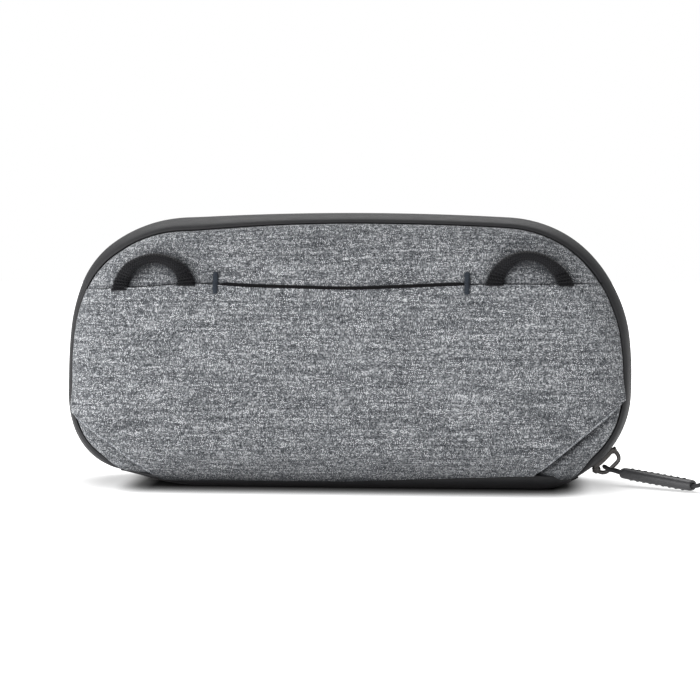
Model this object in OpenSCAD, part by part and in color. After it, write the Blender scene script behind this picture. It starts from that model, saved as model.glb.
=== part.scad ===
// Cable organizer pouch: a padded clamshell that stands on its base.
// Origin: middle of the base, under the zip's centre line. +Z is up, -Y is the front face.

/* [Body] */
// Overall width, across the zip line
body_w = 240; // [225:1:255]
// Overall height, standing on the base
body_h = 115; // [110:1:122]
// Depth of the front half, from the zip's centre line to its outer fabric
front_d = 27; // [24:0.5:30]
// Depth of the back half
back_d = 30; // [27:0.5:34]
// Radius of the two upper corners
top_corner_r = 54; // [48:1:58]
// Radius of the two lower corners, which the zip slider follows
low_corner_r = 40; // [36:1:42]

/* [Fabric layers] */
// Thickness of the outer fabric and of the zip band
fabric_t = 1.0; // [0.6:0.1:1.2]
// Thickness of the foam padding
foam_t = 2.5; // [1.5:0.1:3]
// Thickness of the lining
lining_t = 0.7; // [0.4:0.1:1]
// Free space between one layer and the next
layer_gap = 0.1; // [0.05:0.01:0.2]

/* [Front pocket and loops] */
// Height of the pocket's mouth
seam_z = 84; // [78:1:90]
// Distance of each bar tack from the middle
tack_x = 52; // [40:1:60]
// Distance of each webbing loop's middle from the middle of the pouch
loop_x = 78; // [74:1:84]
// Outer radius of the webbing loops
loop_r = 17.7; // [15:0.1:20]
// Width of the loops' webbing
loop_w = 5; // [4:0.1:6]

/* [Zip] */
// Half of the gap between the two zip bands, where the coil sits
tape_gap = 1.0; // [0.9:0.05:1.2]
// Length of the slider's plates along the zip
slider_len = 13; // [11:0.5:15]
// Width of the slider's plates
slider_w = 6.6; // [6:0.1:7]
// Height of the slider's arch above its plate
arch_h = 5; // [4.5:0.1:5.5]
// Place of the slider on the lower right corner, in degrees below level
slider_angle = 45; // [43:1:47]

/* [Pull] */
// Diameter of the pull cord
cord_d = 1.7; // [1.4:0.1:1.8]
// Height of the grip sleeve, across its flat way
sleeve_h = 4.6; // [4.2:0.1:4.8]
// Width of the grip sleeve
sleeve_w = 6.2; // [5.8:0.1:6.6]

/* [Inside] */
// Height of the rear slip pocket in the front half
rear_pocket_h = 74; // [60:1:80]
// Height of the front slip pocket
low_pocket_h = 50; // [40:1:56]
// Height of the mesh pocket in the back half
mesh_pocket_h = 58; // [45:1:60]
// Number of elastic cable loops
cable_loop_count = 5; // [3:1:5]
// Distance from one cable loop to the next
cable_loop_pitch = 32; // [28:1:33]

/* [Hidden] */
$fn = 48;

// ---- outline of the pouch seen from the front, made of tangent arcs ----
crown_r = 1200;
side_r = 170;
side_z = 46;
crown_c = [0, body_h - crown_r];
side_c = [body_w / 2 - side_r, side_z];
low_c_z = low_corner_r;

function dir(a) = [cos(a), sin(a)];
function bearing(from, to) = atan2(to[1] - from[1], to[0] - from[0]);

// The point at distance ra from a and rb from b, on the right of the way from a to b.
function meet(a, ra, b, rb) =
    let (d = norm(b - a), u = (b - a) / d, m = (d * d + ra * ra - rb * rb) / (2 * d))
    a + u * m + [u[1], -u[0]] * sqrt(ra * ra - m * m);

top_c = meet(crown_c, crown_r - top_corner_r, side_c, side_r - top_corner_r);
low_c = [
    side_c[0] + sqrt(pow(side_r - low_corner_r, 2) - pow(side_z - low_c_z, 2)),
    low_c_z
];
low_end = bearing(side_c, low_c);
side_end = bearing(side_c, top_c);
top_end = bearing(crown_c, top_c);

// Each sample of the outline is its point and its outward direction.
function arc_run(c, r, a0, a1, n) =
    [for (i = [0:n - 1]) let (a = a0 + (a1 - a0) * i / n) [c + r * dir(a), dir(a)]];

BASE_STEPS = 3;
CORNER_STEPS = 8;
SIDE_STEPS = 5;
CROWN_STEPS = 3;
right_run = concat(
    [for (i = [0:BASE_STEPS - 1]) [[low_c[0] * i / BASE_STEPS, 0], [0, -1]]],
    arc_run(low_c, low_corner_r, -90, low_end, CORNER_STEPS),
    arc_run(side_c, side_r, low_end, side_end, SIDE_STEPS),
    arc_run(top_c, top_corner_r, side_end, top_end, CORNER_STEPS),
    arc_run(crown_c, crown_r, top_end, 90, CROWN_STEPS)
);
RIGHT = len(right_run);
function flip_x(s) = [[-s[0][0], s[0][1]], [-s[1][0], s[1][1]]];
rim = concat(
    right_run,
    [[[0, body_h], [0, 1]]],
    [for (i = [RIGHT - 1:-1:1]) flip_x(right_run[i])]
);
N = len(rim);
right_zip_end = BASE_STEPS + 2;
left_zip_end = N - right_zip_end;
coil_start = BASE_STEPS + CORNER_STEPS;

// ---- the domed wall: u runs from 0 at the zip to 1 at the face, t is the depth under the outer skin ----
side_edge = 30;
base_edge = 14;
FLAT_BASE = 0.6;
FACE_U = 0.985;
WALL_LEVELS = [0.2, 0.4, 0.533];
FACE_LEVELS = [0.545, 0.667, 0.8, 0.9, 0.96, FACE_U];

function depth(side) = side < 0 ? front_d : back_d;
function clamp01(x) = min(1, max(0, x));
function base_share(n) = let (s = clamp01((-n[1] - 0.5) / 0.5)) s * s * (3 - 2 * s);
function side_inset(u) = side_edge * (1 - sqrt(1 - pow(u, 3)));
function base_inset(u) =
    base_edge * (1 - sqrt(1 - pow(clamp01((u - FLAT_BASE) / (1 - FLAT_BASE)), 2)));
function inset(u, n) =
    let (w = base_share(n)) side_inset(u) * (1 - w) + base_inset(u) * w;

function skin_point(side, i, u, t) =
    let (s = rim[i % N], p = s[0] - (inset(u, s[1]) + t) * s[1])
    [p[0], side * u * (depth(side) - t * u), p[1]];

// The level u whose depth t lies at distance y from the zip's centre line.
function level_at(side, y, t) = (depth(side) - sqrt(pow(depth(side), 2) - 4 * t * y)) / (2 * t);

function skin_row(side, i0, i1, u, t) = [for (i = [i0:i1]) skin_point(side, i, u, t)];

// A solid between two skins of the same rows and columns. It is closed around when wrap is true,
// and its last row is capped by flat faces when capped is true.
module sheet_solid(outer, inner, wrap, capped, turned) {
    rows = len(outer);
    cols = len(outer[0]);
    last = wrap ? cols - 1 : cols - 2;
    half = rows * cols;
    // The faces at a capped end fan out from these two middle points.
    middles = capped ? [for (k = [outer, inner]) [0, k[rows - 1][0][1], body_h / 2]] : [];
    pts = concat([for (r = outer) each r], [for (r = inner) each r], middles);
    function at(k, j, i) = k * half + j * cols + i % cols;
    function quad(a, b, c, d) = [[a, b, c], [a, c, d]];
    skins = [
        for (j = [0:rows - 2], i = [0:last])
            each concat(
                quad(at(0, j, i), at(0, j, i + 1), at(0, j + 1, i + 1), at(0, j + 1, i)),
                quad(at(1, j, i), at(1, j + 1, i), at(1, j + 1, i + 1), at(1, j, i + 1))
            )
    ];
    first_edge = [
        for (i = [0:last]) each quad(at(0, 0, i), at(1, 0, i), at(1, 0, i + 1), at(0, 0, i + 1))
    ];
    e = rows - 1;
    last_edge = capped
        ? [for (i = [0:last]) each [
            [at(0, e, i), at(0, e, i + 1), 2 * half], [at(1, e, i + 1), at(1, e, i), 2 * half + 1]
        ]]
        : [for (i = [0:last]) each quad(at(0, e, i), at(0, e, i + 1), at(1, e, i + 1), at(1, e, i))];
    ends = wrap ? [] : [
        for (j = [0:rows - 2]) each concat(
            quad(at(0, j, 0), at(0, j + 1, 0), at(1, j + 1, 0), at(1, j, 0)),
            quad(at(0, j, cols - 1), at(1, j, cols - 1), at(1, j + 1, cols - 1), at(0, j + 1, cols - 1))
        )
    ];
    faces = concat(skins, first_edge, last_edge, ends);
    polyhedron(pts, turned ? [for (f = faces) [for (k = [len(f) - 1:-1:0]) f[k]]] : faces);
}

// A dish from level u0 to the face, between depths t0 and t1.
module dish(side, u0, t0, t1) {
    levels = concat([u0], [for (u = concat(WALL_LEVELS, FACE_LEVELS)) if (u > u0 + 0.001) u]);
    sheet_solid(
        [for (u = levels) skin_row(side, 0, N - 1, u, t0)],
        [for (u = levels) skin_row(side, 0, N - 1, u, t1)],
        true, true, side > 0
    );
}

// A strip of wall over the outline's samples i0 to i1, or all round when wrap is true.
module band(side, i0, i1, levels, t0, t1, wrap = false) {
    sheet_solid(
        [for (u = levels) skin_row(side, i0, i1, u, t0)],
        [for (u = levels) skin_row(side, i0, i1, u, t1)],
        wrap, false, side > 0
    );
}

foam_start = fabric_t + layer_gap;
lining_start = foam_start + foam_t + layer_gap;
lining_end = lining_start + lining_t;
foam_y = 5;
binding_y = 4;
base_y = 1.6;
panel_clear = 0.8;

// ---- layers of one half ----
module shell(side) dish(side, FACE_LEVELS[0], 0, fabric_t);
module foam(side) dish(side, foam_y / depth(side), foam_start, foam_start + foam_t);
module lining(side) dish(side, foam_y / depth(side), lining_start, lining_end);
module zip_tape(side)
    band(side, right_zip_end, left_zip_end, concat([tape_gap / depth(side)], WALL_LEVELS), 0, fabric_t);
module base_strip(side)
    band(side, left_zip_end, N + right_zip_end, concat([base_y / depth(side)], WALL_LEVELS), 0, fabric_t);
module edge_binding(side)
    band(
        side, 0, N - 1, [binding_y / depth(side), (foam_y - layer_gap) / depth(side)],
        foam_start, lining_end + 0.2, true
    );
module zip_coil(side)
    band(side, coil_start, left_zip_end, [0.15 / depth(side), 1.6 / depth(side)], foam_start, foam_start + 1.5);

// ---- front pocket ----
pocket_lift = 0.2;
pocket_t = 1.1;
pocket_floor = 0.6;
module pocket_outline() {
    far = body_w / 2 + 5;
    polygon([
        [-84, pocket_floor], [84, pocket_floor], [118, 33], [far, 37],
        [far, seam_z], [-far, seam_z], [-far, 37], [-118, 33]
    ]);
}
module pocket()
    intersection() {
        dish(-1, FACE_LEVELS[0] + 0.02, -pocket_lift - pocket_t, -pocket_lift);
        rotate([90, 0, 0]) linear_extrude(front_d + 10) pocket_outline();
    }

module bar_tacks() {
    tack_w = 2;
    tack_up = 6.5;
    tack_down = 2.5;
    tack_t = 0.5;
    pocket_face = front_d + pocket_lift + pocket_t + layer_gap;
    for (s = [-1, 1]) translate([s * tack_x - tack_w / 2, 0, seam_z]) {
        translate([0, -pocket_face - tack_t, -tack_down]) cube([tack_w, tack_t, tack_down + tack_up]);
        translate([0, -pocket_face, 0.2]) cube([tack_w, pocket_face - front_d - layer_gap, tack_up - 0.2]);
    }
}

// A half-moon of webbing that stands on the pocket's mouth; sink lowers its centre under the mouth.
loop_back = front_d + 0.25;
loop_front = back_d;
loop_foot = 0.3;
module webbing_loop(x, sink) {
    a0 = asin((sink + loop_foot) / (loop_r - loop_w));
    translate([x, 0, seam_z - sink]) rotate([90, 0, 0]) rotate([0, 0, a0])
        rotate_extrude(angle = 180 - 2 * a0) translate([loop_r - loop_w, loop_back])
            square([loop_w, loop_front - loop_back]);
}

// ---- zip slider on the lower right corner ----
slider_lift = 0.8;
plate_t = 1.2;
plate_r = low_corner_r + slider_lift;
arch_bar = 2.0;
arch_w = 2.0;
inner_plate_r = low_corner_r - fabric_t - 3.4;
half_turn = slider_len / 2 / plate_r * 180 / PI;

// Places a child that is drawn round the corner's centre: +X outward, +Y along the zip, +Z backward.
module on_corner() translate([low_c[0], 0, low_c[1]]) rotate([90, slider_angle, 0]) children();

module slider_plates() on_corner() {
    rotate([0, 0, -half_turn]) rotate_extrude(angle = 2 * half_turn)
        translate([plate_r, -slider_w / 2]) square([plate_t, slider_w]);
    rotate([0, 0, -half_turn]) rotate_extrude(angle = 2 * half_turn)
        translate([inner_plate_r, -slider_w / 2]) square([plate_t, slider_w]);
    rotate([0, 0, -half_turn]) rotate_extrude(angle = half_turn / 2)
        translate([inner_plate_r, -0.7]) square([plate_r + plate_t - inner_plate_r, 1.4]);
}

arch_foot_r = plate_r + plate_t - 0.05;
arch_top_r = plate_r + plate_t + arch_h;
arch_half = slider_len / 2 - 1;
bend_r = 3.4;
module quarter_bar() rotate_extrude(angle = 90)
    translate([bend_r - arch_bar, -arch_w / 2]) square([arch_bar, arch_w]);
module bridge() on_corner() {
    for (s = [0, 1]) mirror([0, s, 0]) {
        translate([arch_top_r - bend_r, arch_half - bend_r, 0]) quarter_bar();
        translate([arch_foot_r, arch_half - arch_bar, -arch_w / 2])
            cube([arch_top_r - bend_r - arch_foot_r + 0.01, arch_bar, arch_w]);
    }
    translate([arch_top_r - arch_bar, -arch_half + bend_r - 0.01, -arch_w / 2])
        cube([arch_bar, 2 * (arch_half - bend_r) + 0.02, arch_w]);
}

// ---- pull: a cord through the arch and a grip sleeve ----
sleeve_near = [116.6, -2.4, 5.2];
sleeve_far = [144.4, -22.0, 2.6];
cord_route = [
    [131.0, -11.4, 3.9], [124.0, -6.5, 4.5], [117.1, -1.6, 5.2], [115.3, 0.4, 5.5],
    [114.1, 1.7, 5.8], [113.0, 2.0, 6.0], [111.0, 2.0, 6.4], [110.2, 2.0, 6.8],
    [109.3, 1.75, 7.3], [108.9, 1.0, 7.5], [108.9, 0.0, 7.5], [108.9, -1.0, 7.5],
    [109.3, -1.75, 7.3], [110.2, -2.0, 6.8], [111.0, -2.05, 6.4], [113.0, -2.2, 6.0],
    [116.1, -3.2, 5.2], [123.0, -8.1, 4.6], [130.0, -13.0, 3.9], [137.0, -17.9, 3.3],
    [143.9, -22.8, 2.6], [146.8, -24.9, 3.2], [150.0, -27.4, 5.2], [154.0, -30.8, 7.2],
    [158.6, -34.4, 7.6], [163.4, -37.6, 6.2], [168.0, -40.0, 3.8], [172.0, -40.6, 1.8],
    [175.0, -38.6, 1.0], [175.6, -35.0, 1.0], [173.4, -31.4, 1.8], [169.4, -29.0, 3.8],
    [164.4, -27.6, 6.2], [159.2, -26.4, 7.6], [154.2, -24.8, 7.2], [150.4, -23.2, 5.2],
    [147.6, -21.9, 3.2], [144.9, -21.2, 2.6], [138.0, -16.3, 3.2], [132.4, -12.4, 3.8]
];
CORD_SIDES = 8;

function unit(v) = v / norm(v);
function tangent(p, i) = unit(p[min(i + 1, len(p) - 1)] - p[max(i - 1, 0)]);
// Carries the first ring's side direction along the route without twist.
function carried(p, i = 0, side = [0, 0, 1], out = []) =
    i == len(p) ? out :
    let (t = tangent(p, i), s = unit(side - t * (side * t))) carried(p, i + 1, s, concat(out, [s]));

module tube(route, d) {
    sides = carried(route);
    pts = [
        for (i = [0:len(route) - 1]) let (t = tangent(route, i), a = sides[i], b = cross(t, a))
            for (k = [0:CORD_SIDES - 1]) let (q = 360 * k / CORD_SIDES)
                route[i] + d / 2 * (cos(q) * a + sin(q) * b)
    ];
    last = len(route) - 1;
    faces = concat(
        [[for (k = [0:CORD_SIDES - 1]) k]],
        [[for (k = [CORD_SIDES - 1:-1:0]) last * CORD_SIDES + k]],
        [for (i = [0:last - 1], k = [0:CORD_SIDES - 1])
            let (m = (k + 1) % CORD_SIDES, r = i * CORD_SIDES, s = r + CORD_SIDES)
            each [[r + k, s + k, s + m], [r + k, s + m, r + m]]]
    );
    polyhedron(pts, faces);
}

module slot_shape(w, h) {
    square([w - h, h], center = true);
    for (s = [-1, 1]) translate([s * (w - h) / 2, 0]) circle(d = h);
}

module sleeve() {
    way = sleeve_far - sleeve_near;
    long = norm(way);
    yaw = atan2(way[1], way[0]);
    pitch = asin(-way[2] / long);
    bore_h = cord_d + 0.35;
    bore_w = 2 * cord_d + 0.7;
    translate(sleeve_near) rotate([0, pitch, yaw]) rotate([90, 0, 90])
        linear_extrude(long) difference() {
            slot_shape(sleeve_w, sleeve_h);
            slot_shape(bore_w, bore_h);
        }
}

// ---- inside ----
panel_t = 0.6;
// A flat panel across one half, whose free edge is at height top; y is its side nearer the zip.
module inner_panel(side, y, top, thick, low = 0) {
    u = level_at(side, y + thick, lining_end);
    edge = [for (i = [0:N - 1]) let (p = skin_point(side, i, u, lining_end + panel_clear)) [p[0], p[2]]];
    at = side < 0 ? -y : y + thick;
    translate([0, at, 0]) rotate([90, 0, 0]) linear_extrude(thick) intersection() {
        polygon(edge);
        translate([-body_w / 2, low]) square([body_w, top - low]);
    }
}

rear_pocket_y = 16.4;
low_pocket_y = 11;
mesh_y = 19.6;
elastic_h = 8;
divider_x = 30;
loop_strip_z = 61;
loop_strip_h = 19;
loop_strip_y = 24.5;
cable_loop_w = 15;
cable_loop_out = 8.5;
elastic_t = 1;

module dividers()
    for (s = [-1, 1]) translate([s * divider_x - 0.4, -rear_pocket_y + 0.1, lining_end + 0.5])
        cube([0.8, rear_pocket_y - low_pocket_y - panel_t - 0.2, low_pocket_h - lining_end - 1]);

module pocket_elastics() {
    inner_panel(-1, rear_pocket_y - panel_t - 0.1, rear_pocket_h, panel_t, rear_pocket_h - elastic_h);
    inner_panel(-1, low_pocket_y - panel_t - 0.1, low_pocket_h, panel_t, low_pocket_h - elastic_h);
}

module cable_loop_strip_shape() {
    long = cable_loop_pitch * (cable_loop_count - 1) + cable_loop_w + 10;
    translate([-long / 2, loop_strip_y, loop_strip_z]) cube([long, 0.6, loop_strip_h]);
}

module cable_loop_outline(w, out) {
    translate([-w / 2, -out + w / 2]) square([w, out - w / 2]);
    translate([0, -out + w / 2]) intersection() {
        circle(d = w);
        translate([-w, -w]) square([2 * w, w]);
    }
}

module cable_loop_row() {
    first = -cable_loop_pitch * (cable_loop_count - 1) / 2;
    for (k = [0:cable_loop_count - 1])
        translate([first + k * cable_loop_pitch, loop_strip_y - 0.1, loop_strip_z + 1])
            linear_extrude(loop_strip_h - 2) difference() {
                cable_loop_outline(cable_loop_w, cable_loop_out);
                translate([0, 0.01])
                    cable_loop_outline(cable_loop_w - 2 * elastic_t, cable_loop_out - elastic_t);
            }
}

// ---- named parts ----
module front_shell() { color("slategray") shell(-1); }
module front_foam() { color("dimgray") foam(-1); }
module front_lining() { color("gray") lining(-1); }
module front_zip_tape() { color([0.15, 0.15, 0.16]) zip_tape(-1); }
module front_zip_coil() { color([0.1, 0.1, 0.1]) zip_coil(-1); }
module front_base_strip() { color([0.12, 0.12, 0.13]) base_strip(-1); }
module front_edge_binding() { color([0.2, 0.2, 0.2]) edge_binding(-1); }
module front_pocket() { color("lightslategray") pocket(); }
module pocket_bar_tacks() { color([0.08, 0.1, 0.14]) bar_tacks(); }
module zip_end_tabs() {
    color([0.08, 0.08, 0.08]) for (i = [right_zip_end - 1, left_zip_end])
        band(-1, i, i + 1, [1.6 / front_d, 0.4], -0.7, -0.1);
}
module hinge_cord() {
    color([0.1, 0.1, 0.1]) intersection() {
        translate([-low_c[0], 0, 0]) rotate([0, 90, 0]) cylinder(r = 1.2, h = 2 * low_c[0]);
        translate([-body_w / 2, -5, 0]) cube([body_w, 10, 5]);
    }
}
module slip_pocket_rear() { color("darkgray") inner_panel(-1, rear_pocket_y, rear_pocket_h, panel_t); }
module slip_pocket_front() { color("silver") inner_panel(-1, low_pocket_y, low_pocket_h, panel_t); }
module slip_pocket_dividers() { color("gray") dividers(); }
module slip_pocket_elastics() { color([0.2, 0.2, 0.2]) pocket_elastics(); }
module loop_left() { color([0.09, 0.09, 0.1]) webbing_loop(-loop_x, 3.5); }
module loop_right() { color([0.09, 0.09, 0.1]) webbing_loop(loop_x, 0.2); }
module zip_slider() { color([0.25, 0.24, 0.23]) slider_plates(); }
module slider_bridge() { color([0.3, 0.29, 0.28]) bridge(); }
module pull_cord() { color([0.08, 0.08, 0.08]) tube(cord_route, cord_d); }
module pull_sleeve() { color([0.3, 0.3, 0.31]) sleeve(); }
module back_shell() { color("slategray") shell(1); }
module back_foam() { color("dimgray") foam(1); }
module back_lining() { color("gray") lining(1); }
module back_zip_tape() { color([0.15, 0.15, 0.16]) zip_tape(1); }
module back_zip_coil() { color([0.1, 0.1, 0.1]) zip_coil(1); }
module back_base_strip() { color([0.12, 0.12, 0.13]) base_strip(1); }
module back_edge_binding() { color([0.2, 0.2, 0.2]) edge_binding(1); }
module mesh_pocket() { color([0.35, 0.36, 0.38]) inner_panel(1, mesh_y, mesh_pocket_h, 0.5); }
module mesh_pocket_elastic() {
    color([0.2, 0.2, 0.2]) inner_panel(1, mesh_y - 0.7, mesh_pocket_h, 0.6, mesh_pocket_h - elastic_h);
}
module cable_loop_strip() { color([0.15, 0.15, 0.15]) cable_loop_strip_shape(); }
module cable_loops() { color([0.2, 0.2, 0.22]) cable_loop_row(); }

front_shell();
front_foam();
front_lining();
front_zip_tape();
front_zip_coil();
front_base_strip();
front_edge_binding();
front_pocket();
pocket_bar_tacks();
zip_end_tabs();
hinge_cord();
slip_pocket_rear();
slip_pocket_front();
slip_pocket_dividers();
slip_pocket_elastics();
loop_left();
loop_right();
zip_slider();
slider_bridge();
pull_cord();
pull_sleeve();
back_shell();
back_foam();
back_lining();
back_zip_tape();
back_zip_coil();
back_base_strip();
back_edge_binding();
mesh_pocket();
mesh_pocket_elastic();
cable_loop_strip();
cable_loops();
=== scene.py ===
import math

import bmesh
import bpy
import numpy as np
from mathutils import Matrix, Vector


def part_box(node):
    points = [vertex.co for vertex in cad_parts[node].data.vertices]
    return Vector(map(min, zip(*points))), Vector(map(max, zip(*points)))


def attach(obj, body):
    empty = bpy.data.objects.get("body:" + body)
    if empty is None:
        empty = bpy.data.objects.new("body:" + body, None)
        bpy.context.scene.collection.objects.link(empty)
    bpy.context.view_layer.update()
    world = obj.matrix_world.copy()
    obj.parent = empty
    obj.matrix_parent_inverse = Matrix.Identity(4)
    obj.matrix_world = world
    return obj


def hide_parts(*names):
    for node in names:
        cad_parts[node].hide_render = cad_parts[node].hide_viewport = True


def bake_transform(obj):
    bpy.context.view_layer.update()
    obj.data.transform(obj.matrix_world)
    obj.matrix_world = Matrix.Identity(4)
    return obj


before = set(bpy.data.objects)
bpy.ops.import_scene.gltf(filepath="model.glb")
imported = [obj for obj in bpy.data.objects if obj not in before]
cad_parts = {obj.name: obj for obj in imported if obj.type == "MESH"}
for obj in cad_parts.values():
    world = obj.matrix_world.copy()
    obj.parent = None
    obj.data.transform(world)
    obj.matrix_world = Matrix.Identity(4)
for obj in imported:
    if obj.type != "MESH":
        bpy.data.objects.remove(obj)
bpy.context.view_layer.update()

MM = 0.001
FRONT, BACK = -1, 1

# ---------------------------------------------------------------- sizes in millimetres, from the parts


def size_of(node):
    """The lowest and highest corner of a CAD node's box, in millimetres."""
    low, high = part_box(node)
    return [v / MM for v in low], [v / MM for v in high]


_, tape_high = size_of("front_zip_tape")
BODY_H = tape_high[2]
HALF_W = tape_high[0]
FRONT_D = -size_of("front_shell")[0][1] / 0.985
BACK_D = size_of("back_shell")[1][1] / 0.985
LOW_R, TOP_R, CROWN_R, SIDE_R = 40.0, 54.0, 1200.0, 170.0
WIDEST_Z = 46.0
# How far the face's outline lies inside the rim at the sides and along the base, and the level where the
# base starts to round.
SIDE_EDGE, BASE_EDGE, FLAT_BASE = 30.0, 14.0, 0.6
# Levels run from 0 at the zip to 1 at the face. The fabric's seam runs at one, and the zip band ends under
# it at the other.
SEAM_U = {FRONT: 0.59, BACK: 0.545}
BAND_U = {FRONT: 0.58, BACK: 0.533}
# Depths under the outer skin of the fabric's, the foam's and the lining's faces.
FABRIC_T = 0.95
FOAM_T = {FRONT: (2.3, 3.6), BACK: (1.12, 3.6)}
LINING_T = (3.7, 4.4)
# The foam and the lining start this far from the zip, and the fabric stays this far above the floor.
FOAM_Y = 5.0
FLOOR_GAP = 0.45
TAU = 2 * math.pi


def depth(side):
    """Depth of a half, from the zip to its face."""
    return FRONT_D if side < 0 else BACK_D


# ---------------------------------------------------------------- camera and floor
scene = bpy.context.scene
scene.view_settings.view_transform = "Standard"

CAM_AZ, CAM_EL, CAM_DIST = 5.0, 3.5, 0.832
TARGET = Vector((0.0006, 0.0, 0.0565))


def add_camera():
    a, e = math.radians(CAM_AZ), math.radians(CAM_EL)
    back = Vector((math.sin(a) * math.cos(e), -math.cos(a) * math.cos(e), math.sin(e)))
    data = bpy.data.cameras.new("camera")
    data.lens, data.sensor_width = 100, 36
    data.clip_start, data.clip_end = 0.01, 20
    cam = bpy.data.objects.new("camera", data)
    scene.collection.objects.link(cam)
    cam.location = TARGET + back * CAM_DIST
    cam.rotation_mode = "QUATERNION"
    cam.rotation_quaternion = (-back).to_track_quat("-Z", "Y")
    scene.camera = cam


add_camera()

# ---------------------------------------------------------------- mesh helpers


def link(name, mesh):
    """A new object in the scene."""
    obj = bpy.data.objects.new(name, mesh)
    scene.collection.objects.link(obj)
    return obj


def set_cloth(mesh, values):
    """Stores each point's place on its cloth, in millimetres, for the weave."""
    att = mesh.attributes.get("cloth") or mesh.attributes.new("cloth", "FLOAT_VECTOR", "POINT")
    flat = np.zeros((len(mesh.vertices), 3), np.float32)
    flat[:, : values.shape[1]] = values
    att.data.foreach_set("vector", flat.ravel())


def make(name, points, faces, cloth=None):
    """A mesh object from points in millimetres."""
    mesh = bpy.data.meshes.new(name)
    mesh.from_pydata([tuple(p) for p in np.asarray(points) * MM], [], faces)
    mesh.validate()
    mesh.shade_smooth()
    if cloth is not None and len(cloth) == len(mesh.vertices):
        set_cloth(mesh, np.asarray(cloth))
    return link(name, mesh)


def loft(rings, wrap_rows=False, wrap_cols=False, caps=False, flip=False):
    """Quads between successive rings of points; rings is rows x columns x 3."""
    rings = np.asarray(rings)
    rows, cols = rings.shape[:2]
    faces = []
    for r in range(rows if wrap_rows else rows - 1):
        r2 = (r + 1) % rows
        for c in range(cols if wrap_cols else cols - 1):
            c2 = (c + 1) % cols
            faces.append((r * cols + c, r * cols + c2, r2 * cols + c2, r2 * cols + c))
    if caps and wrap_rows:
        faces.append(tuple(r * cols for r in range(rows)))
        faces.append(tuple(r * cols + cols - 1 for r in range(rows - 1, -1, -1)))
    if caps and wrap_cols:
        faces.append(tuple(range(cols - 1, -1, -1)))
        faces.append(tuple((rows - 1) * cols + c for c in range(cols)))
    if flip:
        faces = [f[::-1] for f in faces]
    return rings.reshape(-1, 3), faces


def clean(obj, merge=1e-7):
    """Merges points closer than merge, in metres, and turns every face outward."""
    bm = bmesh.new()
    bm.from_mesh(obj.data)
    bmesh.ops.remove_doubles(bm, verts=bm.verts, dist=merge)
    bmesh.ops.recalc_face_normals(bm, faces=bm.faces)
    bm.to_mesh(obj.data)
    bm.free()
    obj.data.shade_smooth()
    return obj


def apply_modifiers(obj):
    """Turns an object's modifiers into plain mesh."""
    deps = bpy.context.evaluated_depsgraph_get()
    mesh = bpy.data.meshes.new_from_object(obj.evaluated_get(deps), depsgraph=deps)
    obj.modifiers.clear()
    obj.data = mesh
    return obj


def subdivide(obj):
    """Halves and smooths every face."""
    m = obj.modifiers.new("smooth", "SUBSURF")
    m.levels = m.render_levels = 1
    return apply_modifiers(obj)


def thicken(obj, t):
    """Gives a sheet a thickness of t millimetres, on its outer side."""
    m = obj.modifiers.new("thick", "SOLIDIFY")
    m.thickness, m.offset = t * MM, 1.0
    m.use_even_offset = True
    return apply_modifiers(obj)


def join(name, objs):
    """One object from several, made at the world's origin."""
    bm = bmesh.new()
    for o in objs:
        part = o.data
        bm.from_mesh(part)
        bpy.data.objects.remove(o)
        bpy.data.meshes.remove(part)
    mesh = bpy.data.meshes.new(name)
    bm.to_mesh(mesh)
    bm.free()
    mesh.shade_smooth()
    return link(name, mesh)


def stack(name, rings):
    """A closed piece through successive rings of points."""
    points, faces = loft(rings, wrap_cols=True, caps=True)
    return make(name, points, faces)


def bundle(name, tubes, cloth):
    """One mesh from many small closed tubes, each a stack of rings; cloth has a row for each point."""
    points, faces, base = [], [], 0
    for rings in tubes:
        own, sides = loft(rings, wrap_cols=True, caps=True)
        points.append(own)
        faces += [tuple(base + k for k in face) for face in sides]
        base += len(own)
    return clean(make(name, np.concatenate(points), faces, np.array(cloth)))


def finish_piece(obj, body, slot, mat, *nodes):
    """Gives a piece its material and body, and hides the CAD nodes it stands for; slot is not used."""
    obj.data.materials.clear()
    obj.data.materials.append(mat)
    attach(obj, body)
    if nodes:
        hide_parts(*nodes)
    return obj


# ---------------------------------------------------------------- outline and wall, the same arcs as the CAD
def direction(a):
    return np.array([math.cos(a), math.sin(a)])


def meet(a, ra, b, rb):
    """Where the circle of radius ra about a meets the circle of radius rb about b."""
    d = np.linalg.norm(b - a)
    u = (b - a) / d
    m = (d * d + ra * ra - rb * rb) / (2 * d)
    return a + u * m + np.array([u[1], -u[0]]) * math.sqrt(ra * ra - m * m)


CROWN_C = np.array([0.0, BODY_H - CROWN_R])
SIDE_C = np.array([HALF_W - SIDE_R, WIDEST_Z])
TOP_C = meet(CROWN_C, CROWN_R - TOP_R, SIDE_C, SIDE_R - TOP_R)
LOW_C = np.array([SIDE_C[0] + math.sqrt((SIDE_R - LOW_R) ** 2 - (WIDEST_Z - LOW_R) ** 2), LOW_R])
A_LOW = math.atan2(*(LOW_C - SIDE_C)[::-1])
A_SIDE = math.atan2(*(TOP_C - SIDE_C)[::-1])
A_TOP = math.atan2(*(TOP_C - CROWN_C)[::-1])
RUNS = [
    (LOW_C, LOW_R, -math.pi / 2, A_LOW),
    (SIDE_C, SIDE_R, A_LOW, A_SIDE),
    (TOP_C, TOP_R, A_SIDE, A_TOP),
    (CROWN_C, CROWN_R, A_TOP, math.pi / 2),
]
STARTS = [LOW_C[0]]
for _, radius, first, last in RUNS:
    STARTS.append(STARTS[-1] + radius * (last - first))
HALF = STARTS[-1]
WHOLE = 2 * HALF


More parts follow.
